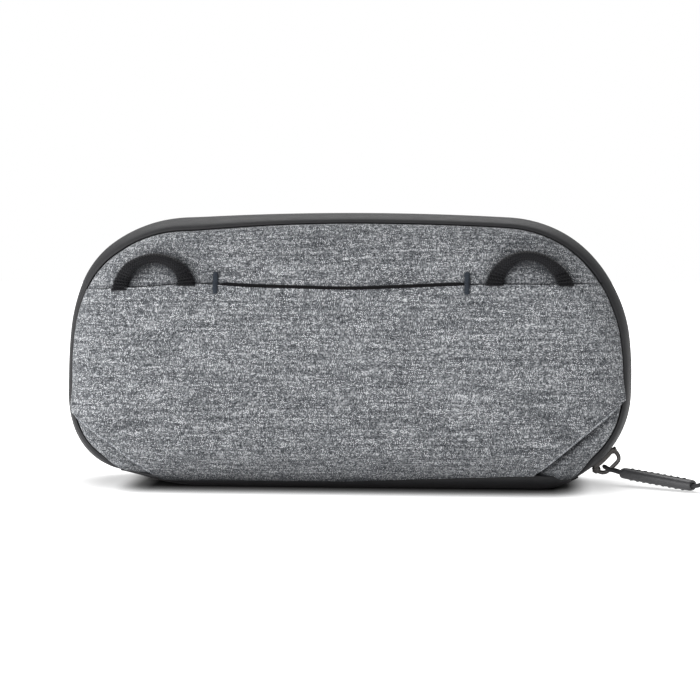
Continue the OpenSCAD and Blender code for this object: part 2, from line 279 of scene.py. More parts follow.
def rim(s):
    """Points and outward directions at the arc lengths s, from the base's middle and up the right side."""
    s = np.mod(np.asarray(s, float), WHOLE)
    left = s > HALF
    q = np.where(left, WHOLE - s, s)
    p = np.stack([q, np.zeros_like(q)], -1)
    n = np.stack([np.zeros_like(q), -np.ones_like(q)], -1)
    for (c, r, a, b), start in zip(RUNS, STARTS):
        on = q >= start
        t = a + (q - start) / r
        d = np.stack([np.cos(t), np.sin(t)], -1)
        p = np.where(on[..., None], c + r * d, p)
        n = np.where(on[..., None], d, n)
    flip = np.where(left, -1.0, 1.0)
    p[..., 0] *= flip
    n[..., 0] *= flip
    return p, n


def smooth(x):
    """A soft step from 0 to 1."""
    x = np.clip(x, 0, 1)
    return x * x * (3 - 2 * x)


def inset(u, nz):
    """How far the wall has come in from the rim at level u; nz is the height part of the rim's direction."""
    low = smooth((-nz - 0.74) / 0.26)
    side = SIDE_EDGE * (1 - np.sqrt(np.maximum(0, 1 - u**3)))
    rounded = np.clip((u - FLAT_BASE) / (1 - FLAT_BASE), 0, 1)
    base = BASE_EDGE * (1 - np.sqrt(np.maximum(0, 1 - rounded**2)))
    return side * (1 - low) + base * low


# How far the soft rim stands out at arc lengths round the outline, in millimetres.
PLUMP = [
    (0, 0), (160, 0), (172, -0.3), (182, -1.0), (195, -0.8), (215, 0), (380, 0), (405, 1.3),
    (425, 2.7), (437, 1.2), (446, 0.2), (465, 0.1), (482, 0.4), (497, 2.1), (508, 3.0), (516, 2.0),
    (524, -0.3), (534, -3.0), (546, -2.2), (556, -0.4), (564, 0), (624, 0),
]

# How much further from the zip the front's seam runs, as a share of the depth, at arc lengths.
SEAM_DROP = [
    (0, 0), (155, 0), (181, 0.045), (210, 0.03), (250, 0.01), (312, 0.01), (340, 0.03), (375, 0.078),
    (412, 0.055), (440, 0.0), (465, -0.04), (488, -0.03), (510, 0), (624, 0),
]

# How far the front's lower left edge is drawn up inside the outline, at arc lengths.
HOLLOW = [(0, 0), (517, 0), (525, 0.5), (532, 2.3), (538, 2.4), (545, 1.0), (552, 0.2), (560, 0), (624, 0)]


def along_rim(table, s, step, reach):
    """A table's value at arc lengths s, averaged over reach steps either way."""
    s = np.mod(np.asarray(s, float), WHOLE)
    at, value = zip(*table)
    return sum(np.interp(s + k * step, at, value) for k in range(-reach, reach + 1)) / (2 * reach + 1)


def plump(s):
    """How far the rim stands out."""
    return along_rim(PLUMP, s, 3.0, 3)


def hollow(s):
    """How far the front's edge is drawn up."""
    return along_rim(HOLLOW, s, 2.0, 2)


def slide(s, u):
    """Levels of the front's wall, shifted toward the face where the seam runs further from the zip."""
    at, drop = zip(*SEAM_DROP)
    seam = SEAM_U[FRONT]
    share = np.where(u < seam, smooth((u - 0.2) / (seam - 0.2)), (1 - u) / (1 - seam))
    return u + np.interp(np.mod(s, WHOLE), at, drop) * share


def skin(side, s, u, t=0.0):
    """Points of the wall at arc lengths s, levels u and depths t under the outer skin."""
    p, n = rim(s)
    if side < 0:
        u = slide(s, u)
    u, t = np.broadcast_arrays(np.asarray(u, float), np.asarray(t, float))
    ins = inset(u, n[..., 1]) + t - plump(s) * (1 - u * u)
    if side < 0:
        ins = ins + hollow(s) * smooth(u / 0.55)
    q = p - ins[..., None] * n
    return np.stack([q[..., 0], side * u * (depth(side) - t * u) * np.ones_like(q[..., 0]), q[..., 1]], -1)


def arc_at(deg):
    """Arc length at an angle on the lower right corner, where -90 is straight down."""
    return LOW_C[0] + LOW_R * math.radians(deg + 90)


ZIP_END = arc_at(-68)
TAB = arc_at(-79)

# ---------------------------------------------------------------- materials


class S:
    """A socket in a node tree, with arithmetic."""

    def __init__(self, mat, socket):
        self.mat, self.socket = mat, socket

    def _op(self, op, *others, clamp=False):
        node = self.mat.tree.nodes.new("ShaderNodeMath")
        node.operation, node.use_clamp = op, clamp
        for k, x in enumerate((self, *others)):
            self.mat.put(node.inputs[k], x)
        return S(self.mat, node.outputs[0])

    def __add__(self, o):
        return self._op("ADD", o)

    def __sub__(self, o):
        return self._op("SUBTRACT", o)

    def __rsub__(self, o):
        return (self * -1.0) + o

    def __mul__(self, o):
        return self._op("MULTIPLY", o)

    def __truediv__(self, o):
        return self._op("DIVIDE", o)

    def floor(self):
        return self._op("FLOOR")

    def fract(self):
        return self._op("FRACT")

    def sin(self):
        return self._op("SINE")

    def abs(self):
        return self._op("ABSOLUTE")

    def mod(self, o):
        return self._op("FLOORED_MODULO", o)

    def max(self, o):
        return self._op("MAXIMUM", o)

    def pow(self, o):
        return self._op("POWER", o)

    def clamp(self):
        return self._op("ADD", 0.0, clamp=True)

    def pick(self, a, b):
        """a where this is 0 and b where it is 1."""
        return self * (b - a) + a


class Mat:
    """A Principled material and its nodes."""

    def __init__(self, name, rough=0.8, spec=0.4, metal=0.0, sheen=0.0):
        self.m = bpy.data.materials.new(name)
        self.m.use_nodes = True
        self.tree = self.m.node_tree
        self.bsdf = self.tree.nodes["Principled BSDF"]
        self.bsdf.inputs["Roughness"].default_value = rough
        self.bsdf.inputs["Specular IOR Level"].default_value = spec
        self.bsdf.inputs["Metallic"].default_value = metal
        if sheen:
            self.bsdf.inputs["Sheen Weight"].default_value = sheen
            self.bsdf.inputs["Sheen Roughness"].default_value = 0.45

    def put(self, socket, x):
        if isinstance(x, S):
            self.tree.links.new(x.socket, socket)
        else:
            socket.default_value = x

    def cloth(self):
        """The cloth's own coordinates, in millimetres."""
        att = self.tree.nodes.new("ShaderNodeAttribute")
        att.attribute_name = "cloth"
        sep = self.tree.nodes.new("ShaderNodeSeparateXYZ")
        self.tree.links.new(att.outputs["Vector"], sep.inputs[0])
        return tuple(S(self, o) for o in sep.outputs)

    def place(self):
        """The object's own coordinates, in millimetres."""
        tex = self.tree.nodes.new("ShaderNodeTexCoord")
        sep = self.tree.nodes.new("ShaderNodeSeparateXYZ")
        self.tree.links.new(tex.outputs["Object"], sep.inputs[0])
        return tuple(S(self, o) * 1000.0 for o in sep.outputs)

    def vector(self, x, y, z=0.0):
        node = self.tree.nodes.new("ShaderNodeCombineXYZ")
        for k, v in enumerate((x, y, z)):
            self.put(node.inputs[k], v)
        return S(self, node.outputs[0])

    def noise(self, x, y, z=0.0, detail=2.0, rough=0.5):
        node = self.tree.nodes.new("ShaderNodeTexNoise")
        self.tree.links.new(self.vector(x, y, z).socket, node.inputs["Vector"])
        node.inputs["Scale"].default_value = 1.0
        node.inputs["Detail"].default_value = detail
        node.inputs["Roughness"].default_value = rough
        return S(self, node.outputs[0])

    def white(self, x, y, z=0.0):
        node = self.tree.nodes.new("ShaderNodeTexWhiteNoise")
        self.tree.links.new(self.vector(x, y, z).socket, node.inputs["Vector"])
        return S(self, node.outputs[0])

    def ramp(self, x, stops):
        node = self.tree.nodes.new("ShaderNodeValToRGB")
        ramp = node.color_ramp
        while len(ramp.elements) < len(stops):
            ramp.elements.new(1.0)
        for e, (at, colour) in zip(ramp.elements, stops):
            e.position, e.color = at, (*colour, 1.0)
        self.put(node.inputs[0], x)
        return S(self, node.outputs[0])

    def colour(self, x, stops):
        self.put(self.bsdf.inputs["Base Color"], self.ramp(x, stops))

    def openness(self, mm, samples=8):
        """How open a place is to its surroundings within mm millimetres, from 0 to 1."""
        node = self.tree.nodes.new("ShaderNodeAmbientOcclusion")
        node.samples = samples
        node.inputs["Distance"].default_value = mm * MM
        return S(self, node.outputs["AO"])

    def mix(self, share, a, b):
        """Colour a where share is 0 and b where it is 1."""
        node = self.tree.nodes.new("ShaderNodeMix")
        node.data_type = "RGBA"
        self.put(node.inputs[0], share)
        self.put(node.inputs[6], a)
        self.put(node.inputs[7], b)
        return S(self, node.outputs[2])

    def roughness(self, x):
        self.put(self.bsdf.inputs["Roughness"], x)

    def bump(self, height, mm, strength=1.0):
        """height from 0 to 1 stands for a relief of mm millimetres."""
        node = self.tree.nodes.new("ShaderNodeBump")
        node.inputs["Strength"].default_value = strength
        node.inputs["Distance"].default_value = mm * MM
        self.put(node.inputs["Height"], height)
        self.tree.links.new(node.outputs[0], self.bsdf.inputs["Normal"])


def thread_profile(x):
    """A rounded thread across its own width, from 0 at its sides to 1 at its middle."""
    return (x.fract() * math.pi).sin()


def heather(name, gain, shade=1.25):
    """Heathered weave of light and dark threads; gain lightens it, and shade sets how strongly painted shade
    from ambient occlusion darkens its colour in hollows, creases and under overlapping parts.
    """
    m = Mat(name, rough=0.9, spec=0.15, sheen=0.04)
    a, b, _ = m.cloth()
    wobble = m.noise(a * 0.05, b * 0.05, detail=1.0) * 1.4
    a, b = a + wobble, b + wobble
    pitch = 0.40
    i, j = (a / pitch).floor(), (b / pitch).floor()
    over = (i + j).mod(2.0)
    weft = m.noise(j * 7.31, a * 0.32, 3.0, detail=3.0)
    warp = m.noise(i * 5.17, b * 0.5, 9.0, detail=2.0)
    fleck = m.white(i, j)
    tone = over.pick(weft, warp)
    tone = (tone - 0.5) * 2.85 + 0.5
    tone = tone * 0.52 + fleck * 0.48
    cloud = m.noise(a * 0.06, b * 0.11, detail=3.0)
    streak = m.noise(b * 0.9, a * 0.03, 5.0, detail=1.0)
    tone = tone + (cloud - 0.5) * 0.2 + (streak - 0.5) * 0.46
    thread = m.ramp(
        tone,
        [
            (0.12, (0.024 * gain, 0.026 * gain, 0.030 * gain)),
            (0.42, (0.095 * gain, 0.100 * gain, 0.108 * gain)),
            (0.62, (0.195 * gain, 0.203 * gain, 0.214 * gain)),
            (0.88, (0.515, 0.525, 0.540)),
        ],
    )
    # Painted shade: the colour is mixed toward near-black where ambient occlusion finds nearby surfaces.
    share = (m.openness(7.0) * shade - (shade - 1.0)).clamp()
    m.put(m.bsdf.inputs["Base Color"], m.mix(share, (0.02, 0.021, 0.024, 1.0), thread))
    up = thread_profile(a / pitch) * over + thread_profile(b / pitch) * (1.0 - over)
    m.bump(up * 0.8 + fleck * 0.2, 0.10, 0.55)
    return m.m


def coated_tape():
    """Coated zip tape: a fine twill under a thin film."""
    m = Mat("coated_twill", rough=0.6, spec=0.22, sheen=0.03)
    a, b, _ = m.cloth()
    rib = ((a + b) / 0.62 * TAU).sin() * 0.5 + 0.5
    cross = ((a - b) / 0.31 * TAU).sin() * 0.5 + 0.5
    rub = m.noise(a * 0.15, b * 0.4, detail=4.0)
    m.colour(
        rib * 0.5 + rub * 0.5,
        [(0.2, (0.013, 0.013, 0.014)), (0.8, (0.031, 0.031, 0.033))],
    )
    m.roughness(rub * 0.25 + 0.45)
    m.bump(rib * 0.75 + cross * 0.25, 0.06, 0.5)
    return m.m


def fabric(name, pitch, stops, rough=0.85, sheen=0.06, relief=0.08, knit=False):
    """A plain weave, or a knit whose stitches lean both ways."""
    m = Mat(name, rough=rough, spec=0.25, sheen=sheen)
    a, b, _ = m.cloth()
    if knit:
        lean = ((a / pitch).fract() - 0.5).abs() * pitch * 1.2
        b = b + lean
    i, j = (a / pitch).floor(), (b / pitch).floor()
    over = (i + j).mod(2.0)
    tone = m.white(i, j) * 0.35 + m.noise(a * 0.07, b * 0.07, detail=3.0) * 0.65
    up = thread_profile(a / pitch) * over + thread_profile(b / pitch) * (1.0 - over)
    if knit:
        up = thread_profile(b / pitch)
    m.colour(tone * 0.7 + up * 0.3, stops)
    m.bump(up, relief, 0.6)
    return m.m


def webbing():
    """Tubular braid: strands cross each other in a herringbone."""
    m = Mat("braided_webbing", rough=0.62, spec=0.14, sheen=0.02)
    a, b, _ = m.cloth()
    p, q = (a + b * 0.9) / 1.1, (a - b * 0.9) / 1.1
    over = (p.floor() + q.floor()).mod(2.0)
    up = over.pick(thread_profile(p), thread_profile(q))
    fibre = over.pick(m.noise(p * 0.6, q * 9.0), m.noise(q * 0.6, p * 9.0))
    m.colour(
        up * 0.55 + fibre * 0.45,
        [(0.25, (0.001, 0.001, 0.0015)), (0.6, (0.0045, 0.0045, 0.0055)), (0.95, (0.026, 0.0265, 0.030))],
    )
    m.bump(up * 0.85 + fibre * 0.15, 0.34, 0.9)
    return m.m


def grosgrain(name, dark, light):
    """Ribbed tape."""
    m = Mat(name, rough=0.8, spec=0.18, sheen=0.03)
    a, b, _ = m.cloth()
    rib = (a / 0.7 * TAU).sin() * 0.5 + 0.5
    fibre = m.noise(a * 0.6, b * 5.0)
    m.colour(rib * 0.6 + fibre * 0.4, [(0.2, dark), (0.9, light)])
    m.bump(rib * 0.9 + fibre * 0.1, 0.14, 0.7)
    return m.m


def thread_mat(name, dark, light, rough=0.65):
    """Twisted sewing thread."""
    m = Mat(name, rough=rough, spec=0.3, sheen=0.06)
    a, b, _ = m.cloth()
    twist = ((a * 1.6 + b * 1.1) * TAU).sin() * 0.5 + 0.5
    m.colour(twist * 0.6 + m.noise(a * 2.0, b * 2.0) * 0.4, [(0.15, dark), (0.85, light)])
    m.bump(twist, 0.05, 0.6)
    return m.m


def metal():
    """Dark coating, rubbed through to the metal along its edges."""
    m = Mat("slider_coating", rough=0.34, spec=0.5, metal=0.85)
    x, y, z = m.place()
    n = m.noise(x * 0.8, y * 0.8, z * 0.8, detail=5.0)
    edge = S(m, m.tree.nodes.new("ShaderNodeNewGeometry").outputs["Pointiness"])
    worn = ((edge - 0.5) * 9.0 + (n - 0.5) * 0.5).clamp()
    m.colour(worn, [(0.0, (0.050, 0.048, 0.047)), (0.35, (0.085, 0.08, 0.077)), (1.0, (0.30, 0.28, 0.265))])
    m.roughness(n * 0.22 + 0.24)
    m.bump(m.noise(x * 4.0, y * 4.0, z * 4.0, detail=3.0), 0.02, 0.5)
    return m.m


def rubber():
    """Soft moulded grip, with a fine grain."""
    m = Mat("soft_grip", rough=0.45, spec=0.45)
    x, y, z = m.place()
    n = m.noise(x * 1.2, y * 1.2, z * 1.2, detail=5.0)
    fine = m.noise(x * 9.0, y * 9.0, z * 9.0, detail=2.0)
    m.colour(n, [(0.25, (0.030, 0.030, 0.032)), (0.75, (0.052, 0.052, 0.055))])
    m.roughness(n * 0.2 + 0.34)
    m.bump(fine, 0.03, 0.6)
    return m.m


def nylon():
    """Smooth dark nylon."""
    m = Mat("coil_nylon", rough=0.45, spec=0.35)
    x, y, z = m.place()
    n = m.noise(x * 1.5, y * 1.5, z * 1.5, detail=3.0)
    m.colour(n, [(0.2, (0.012, 0.012, 0.013)), (0.8, (0.032, 0.032, 0.034))])
    m.roughness(n * 0.2 + 0.3)
    m.bump(m.noise(x * 8.0, y * 8.0, z * 8.0), 0.015, 0.4)
    return m.m


def foam_mat():
    """Closed-cell foam."""
    m = Mat("closed_cell_foam", rough=0.9, spec=0.2)
    x, y, z = m.place()
    n = m.noise(x * 2.5, y * 2.5, z * 2.5, detail=4.0)
    m.colour(n, [(0.2, (0.035, 0.035, 0.038)), (0.8, (0.09, 0.09, 0.095))])
    m.bump(n, 0.1, 0.7)
    return m.m


# Every heather copy carries painted shade in its hollows from ambient occlusion.
HEATHER = heather("heather_weave", 0.955)
# A copy with stronger painted shade for the front shell: darker beside the pocket's cuts, in the corner
# recesses and under the loops.
HEATHER_DEEP_SHADE = heather("heather_deep_painted_shade", 0.955, 1.65)
# A lighter copy for the turned edges along the pocket's cuts: a painted highlight that draws their bright
# ridge line.
HEATHER_HIGHLIT = heather("heather_painted_highlight", 1.7, 1.0)
TAPE = coated_tape()
WEBBING = webbing()
BINDING = grosgrain("grosgrain", (0.006, 0.006, 0.007), (0.024, 0.024, 0.026))
ELASTIC = grosgrain("ribbed_elastic", (0.010, 0.010, 0.012), (0.045, 0.045, 0.05))
LINING = fabric("plain_lining", 0.35, [(0.2, (0.17, 0.175, 0.19)), (0.8, (0.33, 0.34, 0.36))], relief=0.05)
STRETCH = fabric("stretch_knit", 0.6, [(0.2, (0.085, 0.09, 0.10)), (0.8, (0.20, 0.205, 0.22))], knit=True)
MESH = fabric("mesh_yarn", 0.4, [(0.2, (0.03, 0.03, 0.033)), (0.8, (0.09, 0.09, 0.095))])
TACK_THREAD = thread_mat("tack_thread", (0.006, 0.009, 0.014), (0.030, 0.040, 0.055))
SEAM_THREAD = thread_mat("seam_thread", (0.012, 0.012, 0.013), (0.05, 0.05, 0.052))
TAUPE_THREAD = thread_mat("edge_thread", (0.10, 0.085, 0.06), (0.28, 0.25, 0.19))
CORD = thread_mat("cord_braid", (0.005, 0.005, 0.006), (0.035, 0.035, 0.038))
# Near-black: the mouth's binding darkened into painted shade of the open mouth and its seam.
MOUTH_SHADE = grosgrain("mouth_binding_painted_shade", (0.0012, 0.0012, 0.0016), (0.004, 0.004, 0.005))
METAL, RUBBER, NYLON, FOAM = metal(), rubber(), nylon(), foam_mat()

# ---------------------------------------------------------------- pull cord (first, with the camera)
CORD_ROUTE = [
    (131.0, -11.4, 3.9), (124.0, -6.5, 4.5), (117.1, -1.6, 5.2), (115.3, 0.4, 5.5),
    (114.1, 1.7, 5.8), (113.0, 2.0, 6.0), (111.0, 2.0, 6.4), (110.2, 2.0, 6.8),
    (109.3, 1.75, 7.3), (108.9, 1.0, 7.5), (108.9, 0.0, 7.5), (108.9, -1.0, 7.5),
    (109.3, -1.75, 7.3), (110.2, -2.0, 6.8), (111.0, -2.05, 6.4), (113.0, -2.2, 6.0),
    (116.1, -3.2, 5.2), (123.0, -8.1, 4.6), (130.0, -13.0, 3.9), (137.0, -17.9, 3.3),
    (143.9, -22.8, 2.6), (146.8, -24.9, 3.2), (150.0, -27.4, 5.2), (154.0, -30.8, 7.2),
    (158.6, -34.4, 7.6), (163.4, -37.6, 6.2), (168.0, -40.0, 3.8), (172.0, -40.6, 1.8),
    (175.0, -38.6, 1.0), (175.6, -35.0, 1.0), (173.4, -31.4, 1.8), (169.4, -29.0, 3.8),
    (164.4, -27.6, 6.2), (159.2, -26.4, 7.6), (154.2, -24.8, 7.2), (150.4, -23.2, 5.2),
    (147.6, -21.9, 3.2), (144.9, -21.2, 2.6), (138.0, -16.3, 3.2), (132.4, -12.4, 3.8),
]
CORD_D = 1.7


def catmull(points, steps):
    """A smooth curve through points, with steps places between each two."""
    p = np.asarray(points, float)
    p = np.vstack([2 * p[0] - p[1], p, 2 * p[-1] - p[-2]])
    out = []
    for k in range(1, len(p) - 2):
        a, b, c, d = p[k - 1 : k + 3]
        for t in np.linspace(0, 1, steps, endpoint=False):
            bend = (2 * a - 5 * b + 4 * c - d) * t**2 + (3 * b - a - 3 * c + d) * t**3
            out.append(0.5 * (2 * b + (c - a) * t + bend))
    out.append(p[-2])
    return np.array(out)


def frames(path, first=(0, 0, 1)):
    """Tangents and two directions across, carried along a path without twist."""
    path = np.asarray(path, float)
    t = np.gradient(path, axis=0)
    t /= np.linalg.norm(t, axis=1)[:, None]
    side = np.array(first, float)
    a = np.zeros_like(path)
    for k in range(len(path)):
        side = side - t[k] * (side @ t[k])
        side = side / np.linalg.norm(side)
        a[k] = side
    return t, a, np.cross(t, a)


def lengths(path):
    """Distance along a path at each of its points."""
    return np.concatenate([[0], np.cumsum(np.linalg.norm(np.diff(path, axis=0), axis=1))])


def even_steps(path, at):
    """The places at distances at along a path."""
    along = lengths(path)
    return np.stack([np.interp(at, along, path[:, k]) for k in range(3)], 1)


def tube(name, path, shape, first=(0, 0, 1), ends=True):
    """Sweeps a section along path: shape gives it at a distance out of the whole length."""
    path = np.asarray(path, float)
    t, a, b = frames(path, first)
    along = lengths(path)
    rings, cloth = [], []
    for k in range(len(path)):
        ring = np.asarray(shape(along[k], along[-1]))
        rings.append(path[k] + ring[:, :1] * a[k] + ring[:, 1:2] * b[k])
        around = lengths(ring)
        cloth.append(np.stack([np.full(len(ring), along[k]), np.abs(around - around[-1] / 2)], 1))
    points, faces = loft(rings, wrap_cols=True, caps=ends)
    return make(name, points, faces, np.concatenate(cloth))


def super_ring(a, b, power=2.0, n=24):
    """An oval with half axes a and b, squarer as power grows."""
    q = np.arange(n) * TAU / n
    c, s = np.cos(q), np.sin(q)
    e = 2.0 / power
    return np.stack([np.sign(c) * np.abs(c) ** e * a, np.sign(s) * np.abs(s) ** e * b], 1)


cord_line = catmull(CORD_ROUTE, 5)


def braid_shape(s, total):
    """The cord's section, with the braid's crossing ridges."""
    q = np.arange(16) * TAU / 16
    r = CORD_D / 2 * (0.95 + 0.05 * np.cos(4 * q + s * 2.4) * np.cos(4 * q - s * 2.4))
    return np.stack([np.cos(q) * r, np.sin(q) * r], 1)


cord = tube("pull_cord_braid", cord_line, braid_shape)

GRIP_A, GRIP_B = np.array([116.6, -2.4, 5.2]), np.array([144.4, -22.0, 2.6])


def make_grip():
    """A soft grip moulded round the doubled cord, with a row of plain nubs above and below."""
    way = GRIP_B - GRIP_A
    total = np.linalg.norm(way)
    stops = [0, 0.12, 0.45, 1.1, 2.2, 4.0]
    inner = [6 + k * (total - 12) / 30 for k in range(31)]
    at = np.array(stops + inner + [total - k for k in stops[::-1]])
    path = GRIP_A + way * (at / total)[:, None]

    def shape(s, full):
        edge = min(s, full - s)
        grow = 1.0 - 0.16 * math.exp(-edge / 0.35) - 0.03 * math.exp(-edge / 3.0)
        return super_ring(2.3 * grow, 3.1 * grow, 2.5, 28)

    parts = [tube("grip_body", path, shape, ends=False)]
    # a bore at each end, sunk 2 mm
    for start, sign in ((GRIP_A, 1), (GRIP_B, -1)):
        d = way / total * sign
        p = [start, start + d * 0.02, start + d * 0.25, start + d * 2.2]
        sizes = [(2.3 * 0.81, 3.1 * 0.81), (1.15, 2.2), (1.02, 2.05), (1.0, 2.0)]
        _, a, b = frames(np.array([start, start + way]))
        rings = []
        for q, (high, wide) in zip(p, sizes):
            ring = super_ring(high, wide, 2.3, 28)
            rings.append(q + ring[:, :1] * a[0] + ring[:, 1:2] * b[0])
        points, faces = loft(rings, wrap_cols=True, caps=True)
        faces = faces[:-2] + [faces[-1]]
        parts.append(make("grip_end", points, faces, np.zeros((len(points), 2))))
    _, a, b = frames(np.array([GRIP_A, GRIP_B]))
    up, across, along = a[0], b[0], way / total
    # nubs: low domes in a row, above and below
    for face_sign in (1, -1):
        for k in range(9):
            centre = GRIP_A + along * (4.6 + k * (total - 9.2) / 8)
            rings = []
            for lift, r in ((-0.25, 0.62), (0.1, 0.6), (0.26, 0.48), (0.36, 0.26), (0.39, 0.04)):
                ring = super_ring(r * 1.15, r * 2.0, 2.4, 14)
                middle = centre + up * face_sign * (2.24 + lift)
                rings.append(middle + ring[:, :1] * along + ring[:, 1:2] * across)
            points, faces = loft(rings, wrap_cols=True, caps=True, flip=face_sign < 0)
            parts.append(make("nub", points, faces, np.zeros((len(points), 2))))
    return clean(join("pull_grip", parts), 1e-6)


grip = make_grip()
finish_piece(cord, "pull", "cord", CORD, "pull_cord")
finish_piece(grip, "pull", "sleeve_rubber", RUBBER, "pull_sleeve")

# ---------------------------------------------------------------- the padded halves
COLS = 248
WALL_ROWS = 21
FACE_ROWS = 15


def wall_levels(side, first, count):
    """Levels u from first to the face, evenly spaced over the wall's curve."""
    fine = 1 - (1 - np.linspace(0, 1, 4000)) ** 2
    u = first + (1 - first) * fine
    y, z = depth(side) * u, SIDE_EDGE * (1 - np.sqrt(np.maximum(0, 1 - u**3)))
    s = np.concatenate([[0], np.cumsum(np.hypot(np.diff(y), np.diff(z)))])
    return np.interp(np.linspace(0, s[-1], count), s, u), np.linspace(0, s[-1], count)


# Columns run round the rim from the base's middle: how far each is up its own side, its arc length and
# which side it is on.
UP = np.arange(COLS // 2 + 1) / (COLS // 2)
COL_G = np.concatenate([UP, UP[-2:0:-1]])
COL_S = np.concatenate([UP * HALF, WHOLE - (UP * HALF)[-2:0:-1]])
COL_SIGN = np.where(COL_S > HALF, -1.0, 1.0)
# The face closes on a level line at this height: columns meet their partner above or below it there.
MIDDLE_Z, MIDDLE_HALF = 54.0, 62.0
COLUMN = np.arange(COLS)
PARTNER = np.minimum(COLUMN, np.where(COLUMN <= COLS // 2, COLS // 2 - COLUMN, 3 * COLS // 2 - COLUMN))


def middle_row(edge):
    """The points of the face's middle line, at the depth of its edge."""
    x = COL_SIGN * MIDDLE_HALF * np.sin(math.pi * COL_G)
    return np.stack([x, edge[:, 1], np.full(COLS, MIDDLE_Z)], 1)


def crown(f):
    """How far the face stands out, in millimetres, at a share f of the way to its middle line."""
    return 0.9 * (1 - (1 - f) ** 2)


def grid(side):
    """Points (rows x columns) of the half's skin, with each point's place on the cloth."""
    levels, along = wall_levels(side, SEAM_U[side], WALL_ROWS)
    rows, cloth = [], []
    edge = skin(side, COL_S, 1.0, 0.0)
    _, n = rim(COL_S)
    for u, d in zip(levels, along):
        rows.append(skin(side, COL_S, u))
        out = along[-1] - d
        cloth.append(np.stack([edge[:, 0] + n[:, 0] * out, edge[:, 2] + n[:, 1] * out], 1))
    rim_row = rows[-1]
    centre = middle_row(rim_row)
    for k in range(1, FACE_ROWS + 1):
        f = 1 - (1 - k / FACE_ROWS) ** 1.12
        p = rim_row * (1 - f) + centre * f
        p[:, 1] = rim_row[:, 1] + side * crown(f)
        rows.append(p)
        cloth.append(p[:, [0, 2]])
    return np.array(rows), np.array(cloth)


def grid_faces(rows, side):
    """Quads of a grid of points, welded along the face's middle line."""
    faces = []
    for r in range(rows - 1):
        for c in range(COLS):
            c2 = (c + 1) % COLS
            a, b = (PARTNER[c], PARTNER[c2]) if r == rows - 2 else (c, c2)
            q = (r * COLS + c, r * COLS + c2, (r + 1) * COLS + int(b), (r + 1) * COLS + int(a))
            faces.append(q if side < 0 else q[::-1])
    return faces


def normals_of(points):
    """Unit normals of a grid of points, rows by columns, wrapped round."""
    du = np.gradient(points, axis=0)
    dc = (np.roll(points, -1, axis=1) - np.roll(points, 1, axis=1)) / 2
    n = np.cross(dc, du)
    size = np.linalg.norm(n, axis=2)[..., None]
    n = n / np.maximum(size, 1e-9)
    centre = np.array([0, 0, MIDDLE_Z])
    sign = np.sign(np.sum(n * (points - centre), axis=2))[..., None]
    n = n * np.where(sign == 0, 1, sign)
    side = np.sign(points[-1, :, 1].mean())
    n[-4:] = (0.0, side, 0.0)
    return n


def simulate(points, side, pinned, pressure, cap):
    """Swells a half's fabric over its padding with Cloth, by at most cap millimetres."""
    rows, frames_run = points.shape[0], 20
    mesh = bpy.data.meshes.new("cloth_work")
    mesh.from_pydata([tuple(p) for p in points.reshape(-1, 3) * MM], [], grid_faces(rows, side))
    obj = link("cloth_work", mesh)
    group = obj.vertex_groups.new(name="pin")
    flat = pinned.reshape(-1)
    for k in np.nonzero(flat > 0)[0]:
        group.add([int(k)], float(flat[k]), "REPLACE")
    m = obj.modifiers.new("cloth", "CLOTH")
    s = m.settings
    s.quality = 5
    s.mass = 0.25
    s.tension_stiffness = s.compression_stiffness = 40
    s.shear_stiffness = 20
    s.bending_stiffness = 6
    s.vertex_group_mass = "pin"
    s.use_pressure = True
    s.uniform_pressure_force = pressure
    s.effector_weights.gravity = 0
    m.collision_settings.use_collision = False
    m.collision_settings.use_self_collision = False
    m.point_cache.frame_start, m.point_cache.frame_end = 1, frames_run
    for f in range(1, frames_run + 1):
        scene.frame_set(f)
    deps = bpy.context.evaluated_depsgraph_get()
    e = obj.evaluated_get(deps)
    co = np.zeros(len(mesh.vertices) * 3, np.float32)
    e.data.vertices.foreach_get("co", co)
    moved = co.reshape(points.shape).astype(float) / MM
    bpy.data.objects.remove(obj)
    bpy.data.meshes.remove(mesh)
    scene.frame_set(1)
    d = moved - points
    size = np.linalg.norm(d, axis=2)[..., None]
    cap = cap * smooth(np.arange(rows) / 10.0)[:, None, None]
    out = points + d * np.minimum(1, cap / np.maximum(size, 1e-9))
    out[-1] = out[-1][PARTNER]
    return out


# Places along the pocket's mouth, from left to right.
SEAM_X = [-130, -105.9, -95.7, -89.5, -67.2, -60.1, -53.5, -51.4, -42.3, 3.2, 51.7, 60.0, 95.6, 110.9, 130]
SEAM_Z = [82.3, 82.5, 83.5, 83.5, 85.3, 85.8, 85.1, 84.8, 84.1, 82.9, 85.0, 85.5, 85.2, 85.9, 86.2]


def seam_z(x):
    """Height of the pocket's mouth across the front."""
    x = np.asarray(x, float)
    return sum(np.interp(x + k * 2.5, SEAM_X, SEAM_Z) for k in range(-3, 4)) / 7


def bumpy(x, z, seed):
    """A smooth low relief of a few waves, from -1 to 1."""
    r = np.random.default_rng(seed)
    total = np.zeros_like(x)
    for _ in range(7):
        wave = r.uniform(28, 90)
        a, ph = r.uniform(0, TAU), r.uniform(0, TAU)
        total += np.sin((x * math.cos(a) + z * math.sin(a)) * TAU / wave + ph)
    return total / 7


def ridge(x, z, a, b, width, end=3.0):
    """1 along the line from a to b, falling away over width, with soft ends."""
    a, b = np.array(a, float), np.array(b, float)
    d = b - a
    size = np.linalg.norm(d)
    d = d / size
    along = (x - a[0]) * d[0] + (z - a[1]) * d[1]
    off = (x - a[0]) * -d[1] + (z - a[1]) * d[0]
    ends = smooth(along / end + 0.5) * smooth((size - along) / end + 0.5)
    return np.exp(-((off / width) ** 2)) * ends


# The pocket's slanted cuts, as lines seen from the front, and the height of its foot.
CUTS = [((-123.8, 35.8), (-72.2, 0.3)), ((121.5, 41.6), (74.0, 2.4))]
POCKET_FOOT = 3.3
